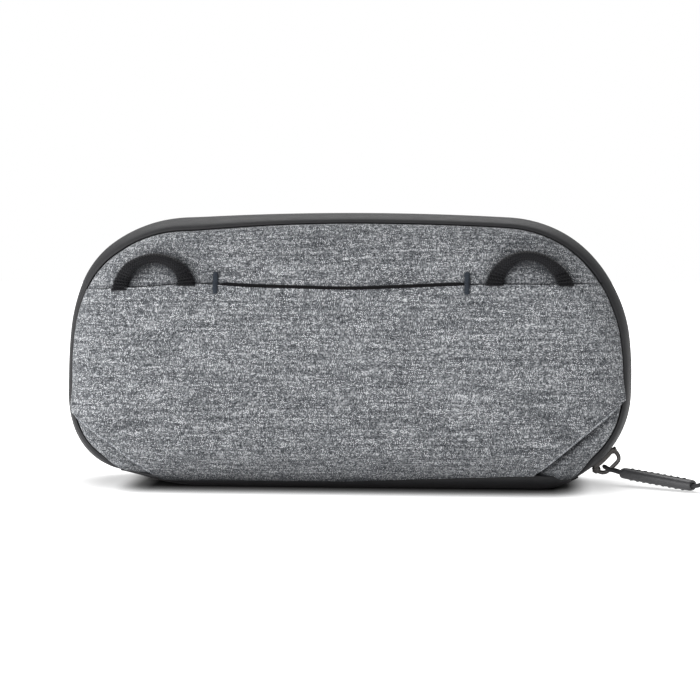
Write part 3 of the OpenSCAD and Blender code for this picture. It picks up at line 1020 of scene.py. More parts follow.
# The front fabric dips this far beside a cut.
DIP = 1.9
# Folds of the loose corner pieces: ends, width and height in millimetres.
FOLDS = [
    ((-102.9, 20.5), (-102.4, 11.5), 1.4, 1.5),
    ((-96.5, 13.0), (-86.0, 5.5), 2.2, -1.0),
    ((-110.5, 22.5), (-107.0, 14.0), 2.4, 0.8),
    ((108.5, 25.0), (90.5, 10.8), 1.7, 1.6),
    ((111.0, 21.8), (94.5, 8.5), 1.5, -1.0),
    ((113.5, 19.5), (98.0, 7.0), 2.4, 1.0),
]


def from_seam(rows, first):
    """A share for each row, 1 but for the first few beside the seam."""
    share = np.ones(rows)
    share[: len(first)] = first
    return share[:, None]


def off_line(x, z, line):
    """Distance of places on the front from a line, in millimetres, positive on the line's right."""
    (x0, z0), (x1, z1) = line
    way = np.array([x1 - x0, z1 - z0]) / math.hypot(x1 - x0, z1 - z0)
    return (x - x0) * way[1] - (z - z0) * way[0]


def wavy(points, side):
    """The soft waves of the fabric over its padding."""
    lift = 0.16 * bumpy(points[..., 0], points[..., 2], 3 if side < 0 else 8)
    lift = lift * from_seam(len(points), [0, 0.2, 0.5, 0.8])
    return points + normals_of(points) * lift[..., None]


def corner_folds(points):
    """Height of the folds of the loose corner pieces, in millimetres."""
    x, z = points[..., 0], points[..., 2]
    high = np.zeros_like(x)
    for a, b, width, size in FOLDS:
        high += size * ridge(x, z, a, b, width, 7)
    return high * smooth((np.arange(points.shape[0]) - 1) / 3.0)[:, None]


def under_edges(points):
    """How far the front fabric dips beside the pocket's slanted edges, in millimetres."""
    x, z = points[..., 0], points[..., 2]
    dip = np.zeros_like(x)
    for line in CUTS:
        outside = off_line(x, z, line) * np.sign(line[1][0] - line[0][0])
        dip = np.maximum(dip, DIP * smooth((outside + 4.0) / 4.0) * smooth((8.5 - outside) / 7.0))
    return dip * from_seam(len(points), [0, 0.1, 0.4, 0.8])


def lip(points):
    """Rolls the fabric's first rows under at the seam with the band."""
    roll = np.zeros(len(points))
    roll[:5] = -1.5, -0.35, 0.12, 0.2, 0.1
    return points + normals_of(points) * roll[:, None, None]


def half_skin(side):
    """The outer points of a half's fabric, and their places on the cloth."""
    points, cloth = grid(side)
    pinned = np.zeros(points.shape[:2])
    pinned[0:2] = 1.0
    pinned[2:5] = 0.5
    if side < 0:
        near_seam = np.abs(points[..., 2] - seam_z(points[..., 0])) < 1.6
        near_seam &= np.abs(points[..., 0]) > 50
        pinned[near_seam] = 1.0
    points = wavy(points, side)
    points = simulate(points, side, pinned, pressure=4.0, cap=0.9)
    points = lip(points)
    points[..., 2] = np.maximum(points[..., 2], FLOOR_GAP)
    return points, cloth


def close_sheet(name, outer, inner, cloth, side):
    """A closed dish from two grids of points, joined round the rim."""
    rings = np.concatenate([outer[::-1], inner])
    points, faces = loft(rings, wrap_cols=True)
    if side > 0:
        faces = [f[::-1] for f in faces]
    both = np.concatenate([cloth[::-1], cloth]).reshape(-1, 2)
    return clean(make(name, points, faces, both), 2e-5)


def sunk(points, t):
    """A grid of points moved in by t millimetres."""
    return points - normals_of(points) * t


front_points, front_cloth = half_skin(FRONT)
back_points, back_cloth = half_skin(BACK)

relief = corner_folds(front_points) - under_edges(front_points)
dipped = sunk(front_points, -relief[..., None])
shell = close_sheet("front_shell_fabric", dipped, sunk(dipped, FABRIC_T), front_cloth, FRONT)
subdivide(shell)
# The front shell wears the copy with the stronger painted shade.
finish_piece(shell, "front_half", "heather_fabric", HEATHER_DEEP_SHADE, "front_shell")

back = close_sheet("back_shell_fabric", back_points, sunk(back_points, FABRIC_T), back_cloth, BACK)
subdivide(back)
finish_piece(back, "back_half", "heather_fabric", HEATHER, "back_shell")


# ---------------------------------------------------------------- outer pocket
def cut_by(bm, a, b):
    """Cuts away what is below the line a-b, seen from the front."""
    a, b = np.array(a), np.array(b)
    d = b - a
    normal = Vector((-d[1], 0, d[0])).normalized()
    if normal.z < 0:
        normal = -normal
    bmesh.ops.bisect_plane(
        bm, geom=bm.verts[:] + bm.edges[:] + bm.faces[:], dist=1e-7,
        plane_co=Vector((a[0] * MM, 0, a[1] * MM)), plane_no=normal, clear_inner=True,
    )


def on_line(bm, a, b):
    """Points and normals, in order, where a sheet was cut along the line a-b."""
    a, b = np.array(a), np.array(b)
    d = (b - a) / np.linalg.norm(b - a)
    bm.normal_update()
    found = []
    for v in bm.verts:
        q = np.array([v.co.x, v.co.z]) / MM - a
        if abs(q[0] * d[1] - q[1] * d[0]) < 1e-3 and v.co.z / MM > POCKET_FOOT + max(0.4, v.co.x * 45):
            found.append((q @ d, v.co / MM, v.normal.copy()))
    found.sort(key=lambda f: f[0])
    return np.array([f[1] for f in found]), np.array([f[2] for f in found])


def pocket_lift():
    """How far the pocket lies over the front: tucked in at the rim, loose at its mouth and cuts."""
    lift = np.full(front_points.shape[:2], 0.62)
    lift[:9] = np.array([-0.5, -0.5, -0.45, -0.35, -0.2, 0.0, 0.2, 0.4, 0.55])[:, None]
    x, z = front_points[..., 0], front_points[..., 2]
    lift += 0.35 * np.exp(-(((z - seam_z(x)) / 6.0) ** 2)) * smooth((50 - np.abs(x)) / 12)
    free = np.zeros_like(lift)
    for line in CUTS:
        free = np.maximum(free, np.exp(-((off_line(x, z, line) / 5.0) ** 2)))
    free[0] = 0
    return lift + (np.maximum(lift, 0.95) - lift) * free


def make_pocket():
    """The pocket's panel, one layer thick, and the places and directions along its slanted cuts."""
    points = sunk(front_points, -pocket_lift()[..., None])
    mesh = bpy.data.meshes.new("pocket")
    mesh.from_pydata([tuple(p) for p in points.reshape(-1, 3) * MM], [], grid_faces(len(points), FRONT))
    set_cloth(mesh, front_cloth.reshape(-1, 2) + np.array([0.0, 3.1]))
    bm = bmesh.new()
    bm.from_mesh(mesh)
    bmesh.ops.remove_doubles(bm, verts=bm.verts, dist=2e-5)
    for face in bm.faces:
        face.smooth = True
    for v in bm.verts:
        v.co.z -= float(seam_z(v.co.x / MM)) * MM
    bmesh.ops.bisect_plane(
        bm, geom=bm.verts[:] + bm.edges[:] + bm.faces[:], dist=1e-7,
        plane_co=Vector((0, 0, 0)), plane_no=Vector((0, 0, 1)), clear_outer=True,
    )
    for v in bm.verts:
        v.co.z += float(seam_z(v.co.x / MM)) * MM
    for line in CUTS:
        cut_by(bm, *line)
    edges = [on_line(bm, *line) for line in CUTS]
    cut_by(bm, (-120, POCKET_FOOT - 0.5), (0, POCKET_FOOT))
    cut_by(bm, (0, POCKET_FOOT), (120, POCKET_FOOT + 4.9))
    bm.to_mesh(mesh)
    bm.free()
    return link("front_pocket_fabric", mesh), edges


pocket, pocket_edges = make_pocket()
thicken(pocket, 0.6)
edge_bevel = pocket.modifiers.new("edge", "BEVEL")
edge_bevel.width, edge_bevel.segments = 0.22 * MM, 2
edge_bevel.limit_method, edge_bevel.angle_limit = "ANGLE", math.radians(50)
apply_modifiers(pocket)
pocket.data.shade_smooth()
finish_piece(pocket, "front_half", "heather_fabric", HEATHER, "front_pocket")


def pocket_edge_rolls():
    """The turned edge along each slanted cut of the pocket, in the lighter copy of the weave that paints a
    highlight along it.
    """
    parts = []
    for points, normals in pocket_edges:
        out = normals * np.sign(normals[:, 1] * FRONT)[:, None]
        path = points + out * 0.42
        path = even_steps(path, np.linspace(0.4, lengths(path)[-1] - 0.4, 60))
        for _ in range(6):
            path[1:-1] = (path[:-2] + 2 * path[1:-1] + path[2:]) / 4

        def shape(at, total):
            grow = min(1.0, 0.35 + 0.65 * min(at, total - at) / 5.0)
            return super_ring(0.52 * grow, 0.60 * grow, 2.0, 12)

        parts.append(tube("roll", path, shape, first=(0, -1, 0)))
    rolls = clean(join("pocket_edge_rolls", parts))
    return finish_piece(rolls, "front_half", "heather_fabric", HEATHER_HIGHLIT)


pocket_edge_rolls()

# ---------------------------------------------------------------- strips of the wall


def strip(name, side, s_values, profile, closed=False, outer_count=99, reach=1.0):
    """Sweeps a closed profile of (u, t) points along the wall, kept above the floor.

    reach scales u along s, and the points after outer_count are the strip's inner face.
    """
    rings, cloth = [], []
    across = 0.0
    last = profile[0]
    for u, t in profile:
        ring = skin(side, s_values, u * (1 + (reach - 1) * smooth(u / 0.8)), t)
        across += math.hypot((u - last[0]) * depth(side), t - last[1])
        last = (u, t)
        ring[:, 2] = np.maximum(ring[:, 2], 0.32 if len(rings) >= outer_count else 0.02)
        rings.append(ring)
        cloth.append(np.stack([s_values, np.full(len(s_values), across)], 1))
    points, faces = loft(rings, wrap_rows=True, wrap_cols=closed, caps=not closed)
    return clean(make(name, points, faces, np.concatenate(cloth)), 1e-6)


def band_profile(side, y0, u1, t=0.0, thick=0.9):
    """A strip from y0 to level u1 with a folded edge at the zip and a tucked edge at the seam."""
    d = depth(side)
    u0 = y0 / d
    ys = [u0, u0 + 0.12 / d, u0 + 0.5 / d]
    outer = [(ys[0], t + 0.42), (ys[1], t + 0.12), (ys[2], t)]
    outer += [(u, t) for u in np.linspace(u0 + 1.4 / d, u1 - 1.6 / d, 7)]
    outer += [(u1 - 0.7 / d, t + 0.16), (u1, t + 0.75)]
    inner = [(u, t + thick) for u in np.linspace(u1, u0 + 0.6 / d, 5)] + [(u0 + 0.1 / d, t + 0.8)]
    return outer + inner


# Level that the front's base fabric reaches, from its left end to its right end.
BASE_REACH = [
    (-95.4, 0.60), (-89, 0.70), (-79, 0.82), (-60, 0.862), (-39, 0.868), (0, 0.880), (40, 0.905),
    (65, 0.922), (80, 0.93), (88, 0.90), (95.4, 0.74),
]


def make_band(side, label):
    """The zip band over the top and the base fabric between its ends."""
    body = label + "_half"
    s = np.linspace(ZIP_END, WHOLE - ZIP_END, 420)
    tape = strip(label + "_zip_band", side, s, band_profile(side, 0.5, BAND_U[side]))
    finish_piece(tape, body, "coated_tape", TAPE, label + "_zip_tape")
    s = np.linspace(-ZIP_END, ZIP_END, 160)
    low_edge = 0.83
    prof = band_profile(side, 1.5, low_edge, -0.42)
    reach = np.interp(s, *zip(*BASE_REACH)) / low_edge if side < 0 else 1.0
    base = strip(label + "_base_fabric", side, s, prof, outer_count=12, reach=reach)
    finish_piece(base, body, "coated_tape", TAPE, label + "_base_strip")


make_band(FRONT, "front")
make_band(BACK, "back")


# One stitch: share of its length, share of its thickness and how far it stands up, at places along it.
STITCH = [(-0.5, 0.15, -0.05), (-0.32, 0.8, 0.55), (0.0, 1.0, 0.85), (0.32, 0.8, 0.55), (0.5, 0.15, -0.05)]


def out_of(s):
    """Direction out of the wall at the arc length s."""
    _, n = rim(np.array([s]))
    return np.array([n[0][0], 0, n[0][1]])


def stitches(name, side, s0, s1, y, pitch, long, r, t=0.0):
    """A row of short raised stitches along the wall, y from the zip and t under the skin."""
    tubes, cloth = [], []
    angles = np.arange(6) * TAU / 6
    across = np.array([0, 1.0, 0])
    for k in range(int((s1 - s0) / pitch)):
        rings = []
        for along, size, lift in STITCH:
            s = s0 + (k + 0.5) * pitch + along * long
            c = skin(side, np.array([s]), y / depth(side), t - lift * r)[0]
            out = out_of(s)
            rings.append([c + (np.cos(a) * out + np.sin(a) * across) * r * size for a in angles])
            cloth += [(s, a) for a in angles]
        tubes.append(rings)
    return bundle(name, tubes, cloth)


for side, label in ((FRONT, "front"), (BACK, "back")):
    ends = (ZIP_END + 2, WHOLE - ZIP_END - 2)
    row = stitches(label + "_edge_stitches", side, *ends, 1.35, 2.4, 1.6, 0.12, 0.23)
    finish_piece(row, label + "_half", "thread", TAUPE_THREAD)


# ---------------------------------------------------------------- zip coil under the bands
COIL_PITCH, COIL_WIRE = 1.3, 0.27


def make_coil(side, label):
    """Nylon loops along the edge of one band, each staying on its own side of the centre line."""
    s0, s1 = arc_at(8), WHOLE - ZIP_END - 1
    tubes, cloth = [], []
    angles = np.arange(6) * TAU / 6
    shift = 0.0 if side < 0 else COIL_PITCH / 2
    for k in range(int((s1 - s0) / COIL_PITCH)):
        rings = []
        for a in np.linspace(0, math.pi, 9):
            s = s0 + shift + k * COIL_PITCH + 0.22 * math.cos(a)
            y = 1.55 - 1.35 * math.sin(a)
            c = skin(side, np.array([s]), y / depth(side), 1.8 - 0.62 * math.cos(a))[0]
            out = out_of(s)
            along = np.array([-out[2], 0, out[0]])
            radial = out * math.cos(a) + np.array([0, side * -math.sin(a), 0])
            rings.append([c + COIL_WIRE * (math.cos(q) * radial + math.sin(q) * along) for q in angles])
            cloth += [(s, q) for q in angles]
        tubes.append(rings)
    obj = bundle(label + "_coil_loops", tubes, cloth)
    return finish_piece(obj, label + "_half", "zip_coil", NYLON, label + "_zip_coil")


make_coil(FRONT, "front")
make_coil(BACK, "back")

# ---------------------------------------------------------------- foam, lining and edge binding
def dish(name, side, depths, body, slot, mat, node):
    """A layer inside a half, between two depths under the skin."""
    first = FOAM_Y / depth(side)
    levels = np.concatenate([[first], wall_levels(side, max(first + 0.02, 0.24), 14)[0]])

    def layer(t):
        rows = [skin(side, COL_S, u, t) for u in levels]
        edge = rows[-1]
        centre = middle_row(edge)
        for k in range(1, 7):
            f = k / 6
            rows.append(edge * (1 - f) + centre * f)
        return np.array(rows)

    outer, inner = [layer(t) for t in depths]
    edge = skin(side, COL_S, 1.0, 0.0)
    _, n = rim(COL_S)
    cloth = []
    for k in range(outer.shape[0]):
        if k < len(levels):
            out = (1 - levels[k]) * 40
            cloth.append(np.stack([edge[:, 0] + n[:, 0] * out, edge[:, 2] + n[:, 1] * out], 1))
        else:
            cloth.append(outer[k][:, [0, 2]])
    obj = close_sheet(name, outer, inner, np.array(cloth), side)
    return finish_piece(obj, body, slot, mat, node)


front_foam = dish("front_foam_layer", FRONT, FOAM_T[FRONT], "front_half", "foam", FOAM, "front_foam")
back_foam = dish("back_foam_layer", BACK, FOAM_T[BACK], "back_half", "foam", FOAM, "back_foam")
front_lining = dish("front_lining_fabric", FRONT, LINING_T, "front_half", "lining", LINING, "front_lining")
back_lining = dish("back_lining_fabric", BACK, LINING_T, "back_half", "lining", LINING, "back_lining")


def binding(side, label):
    """Grosgrain folded over the cut edges, which stands a little proud of the lining."""
    d = depth(side)
    y0, y1 = 3.6, 8.4
    prof = [(y1 / d, 4.45), (y1 / d, 4.85), ((y0 + 1) / d, 4.95), (y0 / d, 4.5), ((y0 - 0.35) / d, 3.6)]
    prof += [((y0 - 0.35) / d, 1.9), (y0 / d, 1.25), ((y0 + 0.9) / d, 1.12), ((y0 + 0.9) / d, 4.4)]
    s = np.linspace(0, WHOLE, 361)[:-1]
    obj = strip(label + "_binding_tape", side, s, prof, closed=True)
    finish_piece(obj, label + "_half", "binding", BINDING, label + "_edge_binding")
    row = stitches(label + "_binding_stitches", side, 1, WHOLE - 1, 7.4, 3.0, 2.1, 0.18, 4.9)
    finish_piece(row, label + "_half", "thread", SEAM_THREAD)


binding(FRONT, "front")
binding(BACK, "back")


# ---------------------------------------------------------------- hinge fabric and end tabs
def hinge_fabric():
    """A narrow fabric that joins the halves along the base."""
    xs = np.linspace(-LOW_C[0] + 1, LOW_C[0] - 1, 90)
    ys = np.linspace(-2.6, 2.6, 15)
    x, y = np.meshgrid(xs, ys)
    outer = np.stack([x, y, 0.28 + 0.34 * np.exp(-(y**2)) + 0.02 * np.sin(x * 4)], -1)
    inner = outer + np.array([0, 0, 0.55])
    rings = np.concatenate([outer, inner[::-1]])
    points, faces = loft(rings, wrap_rows=True, caps=True)
    obj = clean(make("hinge_fabric_fold", points, faces, points[:, :2]))
    obj.data.materials.append(BINDING)
    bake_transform(obj)
    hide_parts("hinge_cord")


hinge_fabric()


# A tab's section: distance from the zip and depth, in millimetres.
TAB_SECTION = [
    (1.2, 0.05), (1.2, -0.35), (2.0, -0.62), (5.0, -0.7), (9.3, -0.65), (10.4, -0.4), (10.6, -0.05),
]


def end_tabs():
    """The fabric tabs over the zip's two ends."""
    s = np.linspace(TAB, ZIP_END + 3.0, 12)
    prof = [(y / FRONT_D, t) for y, t in TAB_SECTION]
    parts = [strip("tab", FRONT, at, prof) for at in (s, WHOLE - s[::-1])]
    finish_piece(join("zip_end_tab_fabric", parts), "front_half", "binding", BINDING, "zip_end_tabs")


end_tabs()


# ---------------------------------------------------------------- bar tacks and the pocket's mouth
def skin_y(x, z):
    """y of the front fabric at a place on the front, from the final points."""
    px, pz, py = front_points[..., 0].ravel(), front_points[..., 2].ravel(), front_points[..., 1].ravel()
    k = np.argsort((px - x) ** 2 + (pz - z) ** 2)[:6]
    w = 1 / (0.3 + (px[k] - x) ** 2 + (pz[k] - z) ** 2)
    return float((py[k] * w).sum() / w.sum())


# One thread of a tack: place along it, share of its thickness and how far it stands out.
TACK = [
    (-1.0, 0.35, -0.55), (-0.8, 0.8, -0.1), (-0.3, 1.0, 0.1),
    (0.3, 1.0, 0.1), (0.8, 0.8, -0.1), (1.0, 0.35, -0.55),
]


def bar_tacks():
    """Two dense stacks of thread that close the ends of the pocket's mouth."""
    r = np.random.default_rng(11)
    tubes, cloth = [], []
    low, high = size_of("pocket_bar_tacks")
    angles = np.arange(7) * TAU / 7
    oval = [np.array([0, math.cos(q) * 0.34, math.sin(q) * 0.24]) for q in angles]
    for x0 in (low[0] - 0.1, high[0] - 1.7):
        z = low[2] + 0.1
        while z < high[2] - 0.1:
            seam = float(seam_z(x0))
            lift = 1.5 if z < seam - 0.3 else 1.5 - 0.95 * min(1, (z - seam + 0.3) / 1.6)
            y = skin_y(x0, z) - lift
            half = 1.12 + r.uniform(-0.12, 0.2)
            tilt = r.uniform(-0.10, 0.10)
            rings = []
            for a, size, out in TACK:
                c = np.array([x0 + a * half, y - out * 0.5, z + tilt * a])
                rings.append([c + p * size for p in oval])
                cloth += [(c[0] * 2, q + z) for q in angles]
            tubes.append(rings)
            z += 0.36 + r.uniform(-0.04, 0.04)
    obj = bundle("bar_tack_threads", tubes, cloth)
    finish_piece(obj, "front_half", "thread", TACK_THREAD, "pocket_bar_tacks")


bar_tacks()


def mouth_shade_strip():
    """A near-black strip in the open mouth between the tacks: the mouth's binding, darkened to paint the
    shade inside the gap, and past the tacks a hairline of painted seam shadow.
    """
    xs = np.linspace(-107, 107, 300)
    prof = [(-0.9, -0.35), (0.2, -0.75), (0.95, -0.7), (1.3, -0.25), (1.15, 0.1), (-0.9, 0.1)]
    rings, cloth = [], []
    for dz, out in prof:
        fade = smooth((53 - np.abs(xs)) / 5)
        z = seam_z(xs) + dz * (0.16 + 0.84 * fade) + 0.12
        y = np.array([skin_y(x, zz) for x, zz in zip(xs, z)]) + out * (0.1 + 0.9 * fade)
        rings.append(np.stack([xs, y, z], 1))
        cloth.append(np.stack([xs, np.full(len(xs), dz)], 1))
    points, faces = loft(rings, wrap_rows=True, caps=True)
    obj = clean(make("pocket_mouth_binding", points, faces, np.concatenate(cloth)))
    finish_piece(obj, "front_half", "binding", MOUTH_SHADE)


mouth_shade_strip()


# ---------------------------------------------------------------- webbing loops
def webbing_loop(name, node, shift, outer, inner):
    """A half-moon of tubular webbing between an outer and an inner line, given as (x, z) points."""
    edges = []
    for line in (outer, inner):
        path = catmull([(x + shift, 0, z) for x, z in line], 24)
        edges.append(even_steps(path, np.linspace(0, lengths(path)[-1], 150)))
    mid = (edges[0] + edges[1]) / 2
    half = np.linalg.norm(edges[0] - edges[1], axis=1) / 2
    s = lengths(mid)
    rings, cloth = [], []
    for k in range(len(mid)):
        foot = min(s[k], s[-1] - s[k])
        rise = float(smooth(foot / 12.0))
        thick = 1.0 + 1.35 * rise
        wrinkle = 0.42 * math.sin(foot * TAU / 1.45) * math.exp(-((foot / 5.5) ** 2))
        out = (edges[0][k] - edges[1][k]) / (2 * half[k])
        under = skin_y(float(mid[k][0]), float(mid[k][2])) - 0.15
        under = min(under, -26.2 if foot > 6 else 0)
        centre = np.array([mid[k][0], under - thick - 0.35 * rise, mid[k][2]])
        oval = super_ring(half[k] * (1 + 0.25 * wrinkle), thick * (1 + wrinkle * 1.6), 2.6, 28)
        ring = centre + oval[:, :1] * out + oval[:, 1:2] * np.array([0, -1.0, 0])
        rings.append(ring)
        around = lengths(ring)
        cloth.append(np.stack([np.full(len(ring), s[k]), np.abs(around - around[-1] / 2)], 1))
    points, faces = loft(rings, wrap_cols=True, caps=True)
    obj = clean(make(name, points, faces, np.concatenate(cloth)))
    return finish_piece(obj, name.replace("_webbing", ""), "webbing", WEBBING, node)


webbing_loop(
    "loop_left_webbing", "loop_left", -2.0,
    [
        (-95.3, 82.4), (-93.6, 87.5), (-88.0, 94.2), (-79.5, 97.8),
        (-72.0, 97.6), (-65.0, 94.2), (-61.0, 89.0), (-59.6, 84.6),
    ],
    [
        (-88.6, 82.8), (-87.2, 87.4), (-83.6, 91.6), (-78.6, 93.9),
        (-73.6, 93.8), (-69.4, 91.4), (-67.2, 88.0), (-66.8, 84.6),
    ],
)
webbing_loop(
    "loop_right_webbing", "loop_right", -1.3,
    [
        (60.2, 84.9), (62.6, 91.2), (68.0, 96.6), (75.5, 99.2),
        (83.5, 98.0), (90.5, 93.6), (94.8, 88.6), (96.2, 84.8),
    ],
    [
        (67.2, 84.9), (68.2, 89.6), (71.4, 93.4), (76.2, 95.4),
        (81.8, 94.4), (86.2, 91.0), (89.0, 87.6), (90.0, 84.8),
    ],
)

# ---------------------------------------------------------------- zip slider
DOWN = math.radians(-45)


def corner(r, along, across):
    """A place on the slider: r out from the corner's centre, along the zip, and across it."""
    c, s = math.cos(DOWN), math.sin(DOWN)
    return np.array([LOW_C[0] + c * r - s * along, across, LOW_C[1] + s * r + c * along])


def curved_plate(name, r0, r1, half_len, half_w, nose):
    """A plate that follows the corner, rounded at both ends and along its edges."""
    rings = []
    mid = (r0 + r1) / 2
    for f in np.linspace(-1, 1, 33):
        ease = math.sqrt(max(0.0, 1 - abs(f) ** 3.2))
        w = half_w * (0.30 + 0.70 * ease) * (1 - nose * max(0, f) * 0.25)
        thin = 1.0 - 0.5 * max(0.0, (abs(f) - 0.9) / 0.1)
        ring = super_ring((r1 - r0) / 2 * thin, w, 4.0, 28)
        a = f * half_len / mid
        rings.append([corner((mid + p) * math.cos(a), (mid + p) * math.sin(a), q) for p, q in ring])
    return stack(name, rings)


def slider():
    """The slider's body and the arch that the pull hangs from."""
    parts = [
        curved_plate("plate", 40.75, 42.05, 6.9, 3.3, 1),
        curved_plate("plate", 35.6, 36.8, 6.5, 3.2, 1),
    ]
    # post between the plates at the lower end
    rings = []
    for r in np.linspace(36.2, 41.4, 6):
        ring = super_ring(1.0, 0.7, 2.2, 16)
        rings.append([corner(r, -5.2 + p, q) for p, q in ring])
    parts.append(stack("post", rings))
    # side flanges on the outer plate, turned in over the coil
    for sign in (-1, 1):
        rings = []
        for f in np.linspace(-0.82, 0.82, 17):
            a = f * 6.9 / 41.4
            w = 3.05 * (0.62 + 0.38 * math.sqrt(1 - abs(f) ** 4))
            ring = super_ring(0.75, 0.32, 3.0, 12)
            far = [(40.55 + p, sign * w + q) for p, q in ring]
            rings.append([corner(r * math.cos(a), r * math.sin(a), y) for r, y in far])
        parts.append(stack("flange", rings))
    # a rounded block under each end of the arch
    for along, long, high, wide in ((-5.6, 1.9, 2.6, 1.7), (5.2, 1.5, 1.3, 1.6)):
        rings = []
        for f in np.linspace(0, 1, 8):
            shrink = math.sqrt(max(0.02, 1 - f**3))
            ring = super_ring(long * shrink, wide * shrink, 3.0, 20)
            rings.append([corner(41.3 + f * high, along + p, q) for p, q in ring])
        parts.append(stack("block", rings))
    body = clean(join("slider_body", parts))
    finish_piece(body, "slider", "slider_metal", METAL, "zip_slider")

    route = [
        (41.6, 5.35), (43.0, 5.4), (44.6, 5.0), (45.75, 3.9), (46.05, 2.4), (46.05, 0.0),
        (46.0, -2.2), (45.5, -3.9), (44.3, -5.1), (42.9, -5.6), (41.6, -5.7),
    ]
    path = catmull([corner(r, y, 0) for r, y in route], 6)

    def shape(s, total):
        foot = min(s, total - s)
        grow = 1 + 0.25 * math.exp(-foot / 1.2)
        return super_ring(0.84 * grow, 1.15 * grow, 3.4, 24)

    along = corner(0, 1, 0) - corner(0, 0, 0)
    arch = tube("slider_arch", path, shape, first=along)
    finish_piece(clean(arch), "slider", "slider_metal", METAL, "slider_bridge")


slider()


# ---------------------------------------------------------------- inside
def level_at(side, y, t):
    """Level of the wall at depth t whose distance from the zip is y."""
    d = depth(side)
    return (d - math.sqrt(d * d - 4 * t * y)) / (2 * t)


def inside_outline(side, y):
    """The outline just inside the lining at distance y from the zip, as (x, z)."""
    t = LINING_T[1]
    s = np.linspace(0, WHOLE, 361)[:-1]
    return skin(side, s, level_at(side, y, t), t + 0.9)[:, [0, 2]]


def span_at(outline, z):
    """Lowest and highest x of an outline at height z."""
    nxt = np.roll(outline, -1, axis=0)
    hits = []
    for (x0, z0), (x1, z1) in zip(outline, nxt):
        if (z0 - z) * (z1 - z) <= 0 and z0 != z1:
            hits.append(x0 + (x1 - x0) * (z - z0) / (z1 - z0))
    return (min(hits), max(hits)) if hits else (0, 0)


def foot_of(outline, z0):
    """z0, or the lowest height that is clear of the outline's foot."""
    return max(z0, outline[:, 1].min() + 0.4)


def panel(name, side, place, slot, mat, node=None, bulge=0.0, ribs=0.0, nx=96, nz=30):
    """A cloth panel across a half with a soft belly; place is (nearest y, farthest y, foot, top)."""
    y, far, z0, z1 = place
    thick = far - y
    outline = inside_outline(side, y + thick)
    z0 = foot_of(outline, z0)
    front, back, cloth = [], [], []
    for k in range(nz + 1):
        f = k / nz
        z_row = z0 + (z1 - z0) * f
        a, b = span_at(outline, z_row)
        xs = np.linspace(a, b, nx + 1)
        g = np.linspace(-1, 1, nx + 1)
        z = np.full(nx + 1, z_row)
        high = math.sin(math.pi * min(1.0, f * 0.8 + 0.05))
        belly = bulge * (1 - g**4) * high * (0.75 + 0.25 * np.cos(g * 9))
        near = y - belly + ribs * np.sin(xs * TAU / 2.2)
        front.append(np.stack([xs, side * near, z], 1))
        back.append(np.stack([xs, side * (near + thick), z], 1))
        cloth.append(np.stack([xs, z], 1))
    rings = np.concatenate([np.array(front), np.array(back)[::-1]])
    points, faces = loft(rings, wrap_rows=True, caps=True)
    both = np.concatenate([np.array(cloth), np.array(cloth)[::-1]]).reshape(-1, 2)
    obj = clean(make(name, points, faces, both))
    return finish_piece(obj, "front_half" if side < 0 else "back_half", slot, mat, *([node] if node else []))


def place_of(node):
    """A node's nearest and farthest distance from the zip, its foot and its top."""
    low, high = size_of(node)
    y = sorted((abs(low[1]), abs(high[1])))
    return y[0], y[1], low[2], high[2]


def slip_pocket(node, bulge):
    """One of the two stacked slip pockets of stretch fabric."""
    return panel(node + "_fabric", FRONT, place_of(node), "stretch_fabric", STRETCH, node, bulge=bulge)


slip_rear = slip_pocket("slip_pocket_rear", 0.5)
slip_front = slip_pocket("slip_pocket_front", 0.6)


def elastic_pair():
    """The ribbed elastics along the tops of the slip pockets."""
    parts = []
    for node in ("slip_pocket_rear", "slip_pocket_front"):
        y, _, _, top = place_of(node)
        place = (y - 1.15, y - 0.55, top - 8, top + 0.25)
        parts.append(panel("elastic_part", FRONT, place, "elastic", ELASTIC, ribs=0.10, nx=420, nz=6))
    both = join("slip_pocket_elastic_edge", parts)
    finish_piece(both, "front_half", "elastic", ELASTIC, "slip_pocket_elastics")


elastic_pair()


def divider_seams():
    """Dividers of the front slip pocket, with a stitched fold."""
    low, high = size_of("slip_pocket_dividers")
    parts = []
    for x in (low[0] + 0.4, high[0] - 0.4):
        rings = []
        for z in np.linspace(low[2], high[2], 40):
            ring = super_ring(0.36 + 0.05 * math.sin(z * 2.2), (high[1] - low[1]) / 2 - 0.02, 5.0, 20)
            rings.append([(x + p, (low[1] + high[1]) / 2 + q, z) for p, q in ring])
        points, faces = loft(rings, wrap_cols=True, caps=True)
        cloth = np.stack([points[:, 1], points[:, 2]], 1)
        parts.append(make("divider", points, faces, cloth))
    obj = clean(join("slip_pocket_divider_folds", parts))
    finish_piece(obj, "front_half", "stretch_fabric", STRETCH, "slip_pocket_dividers")


divider_seams()


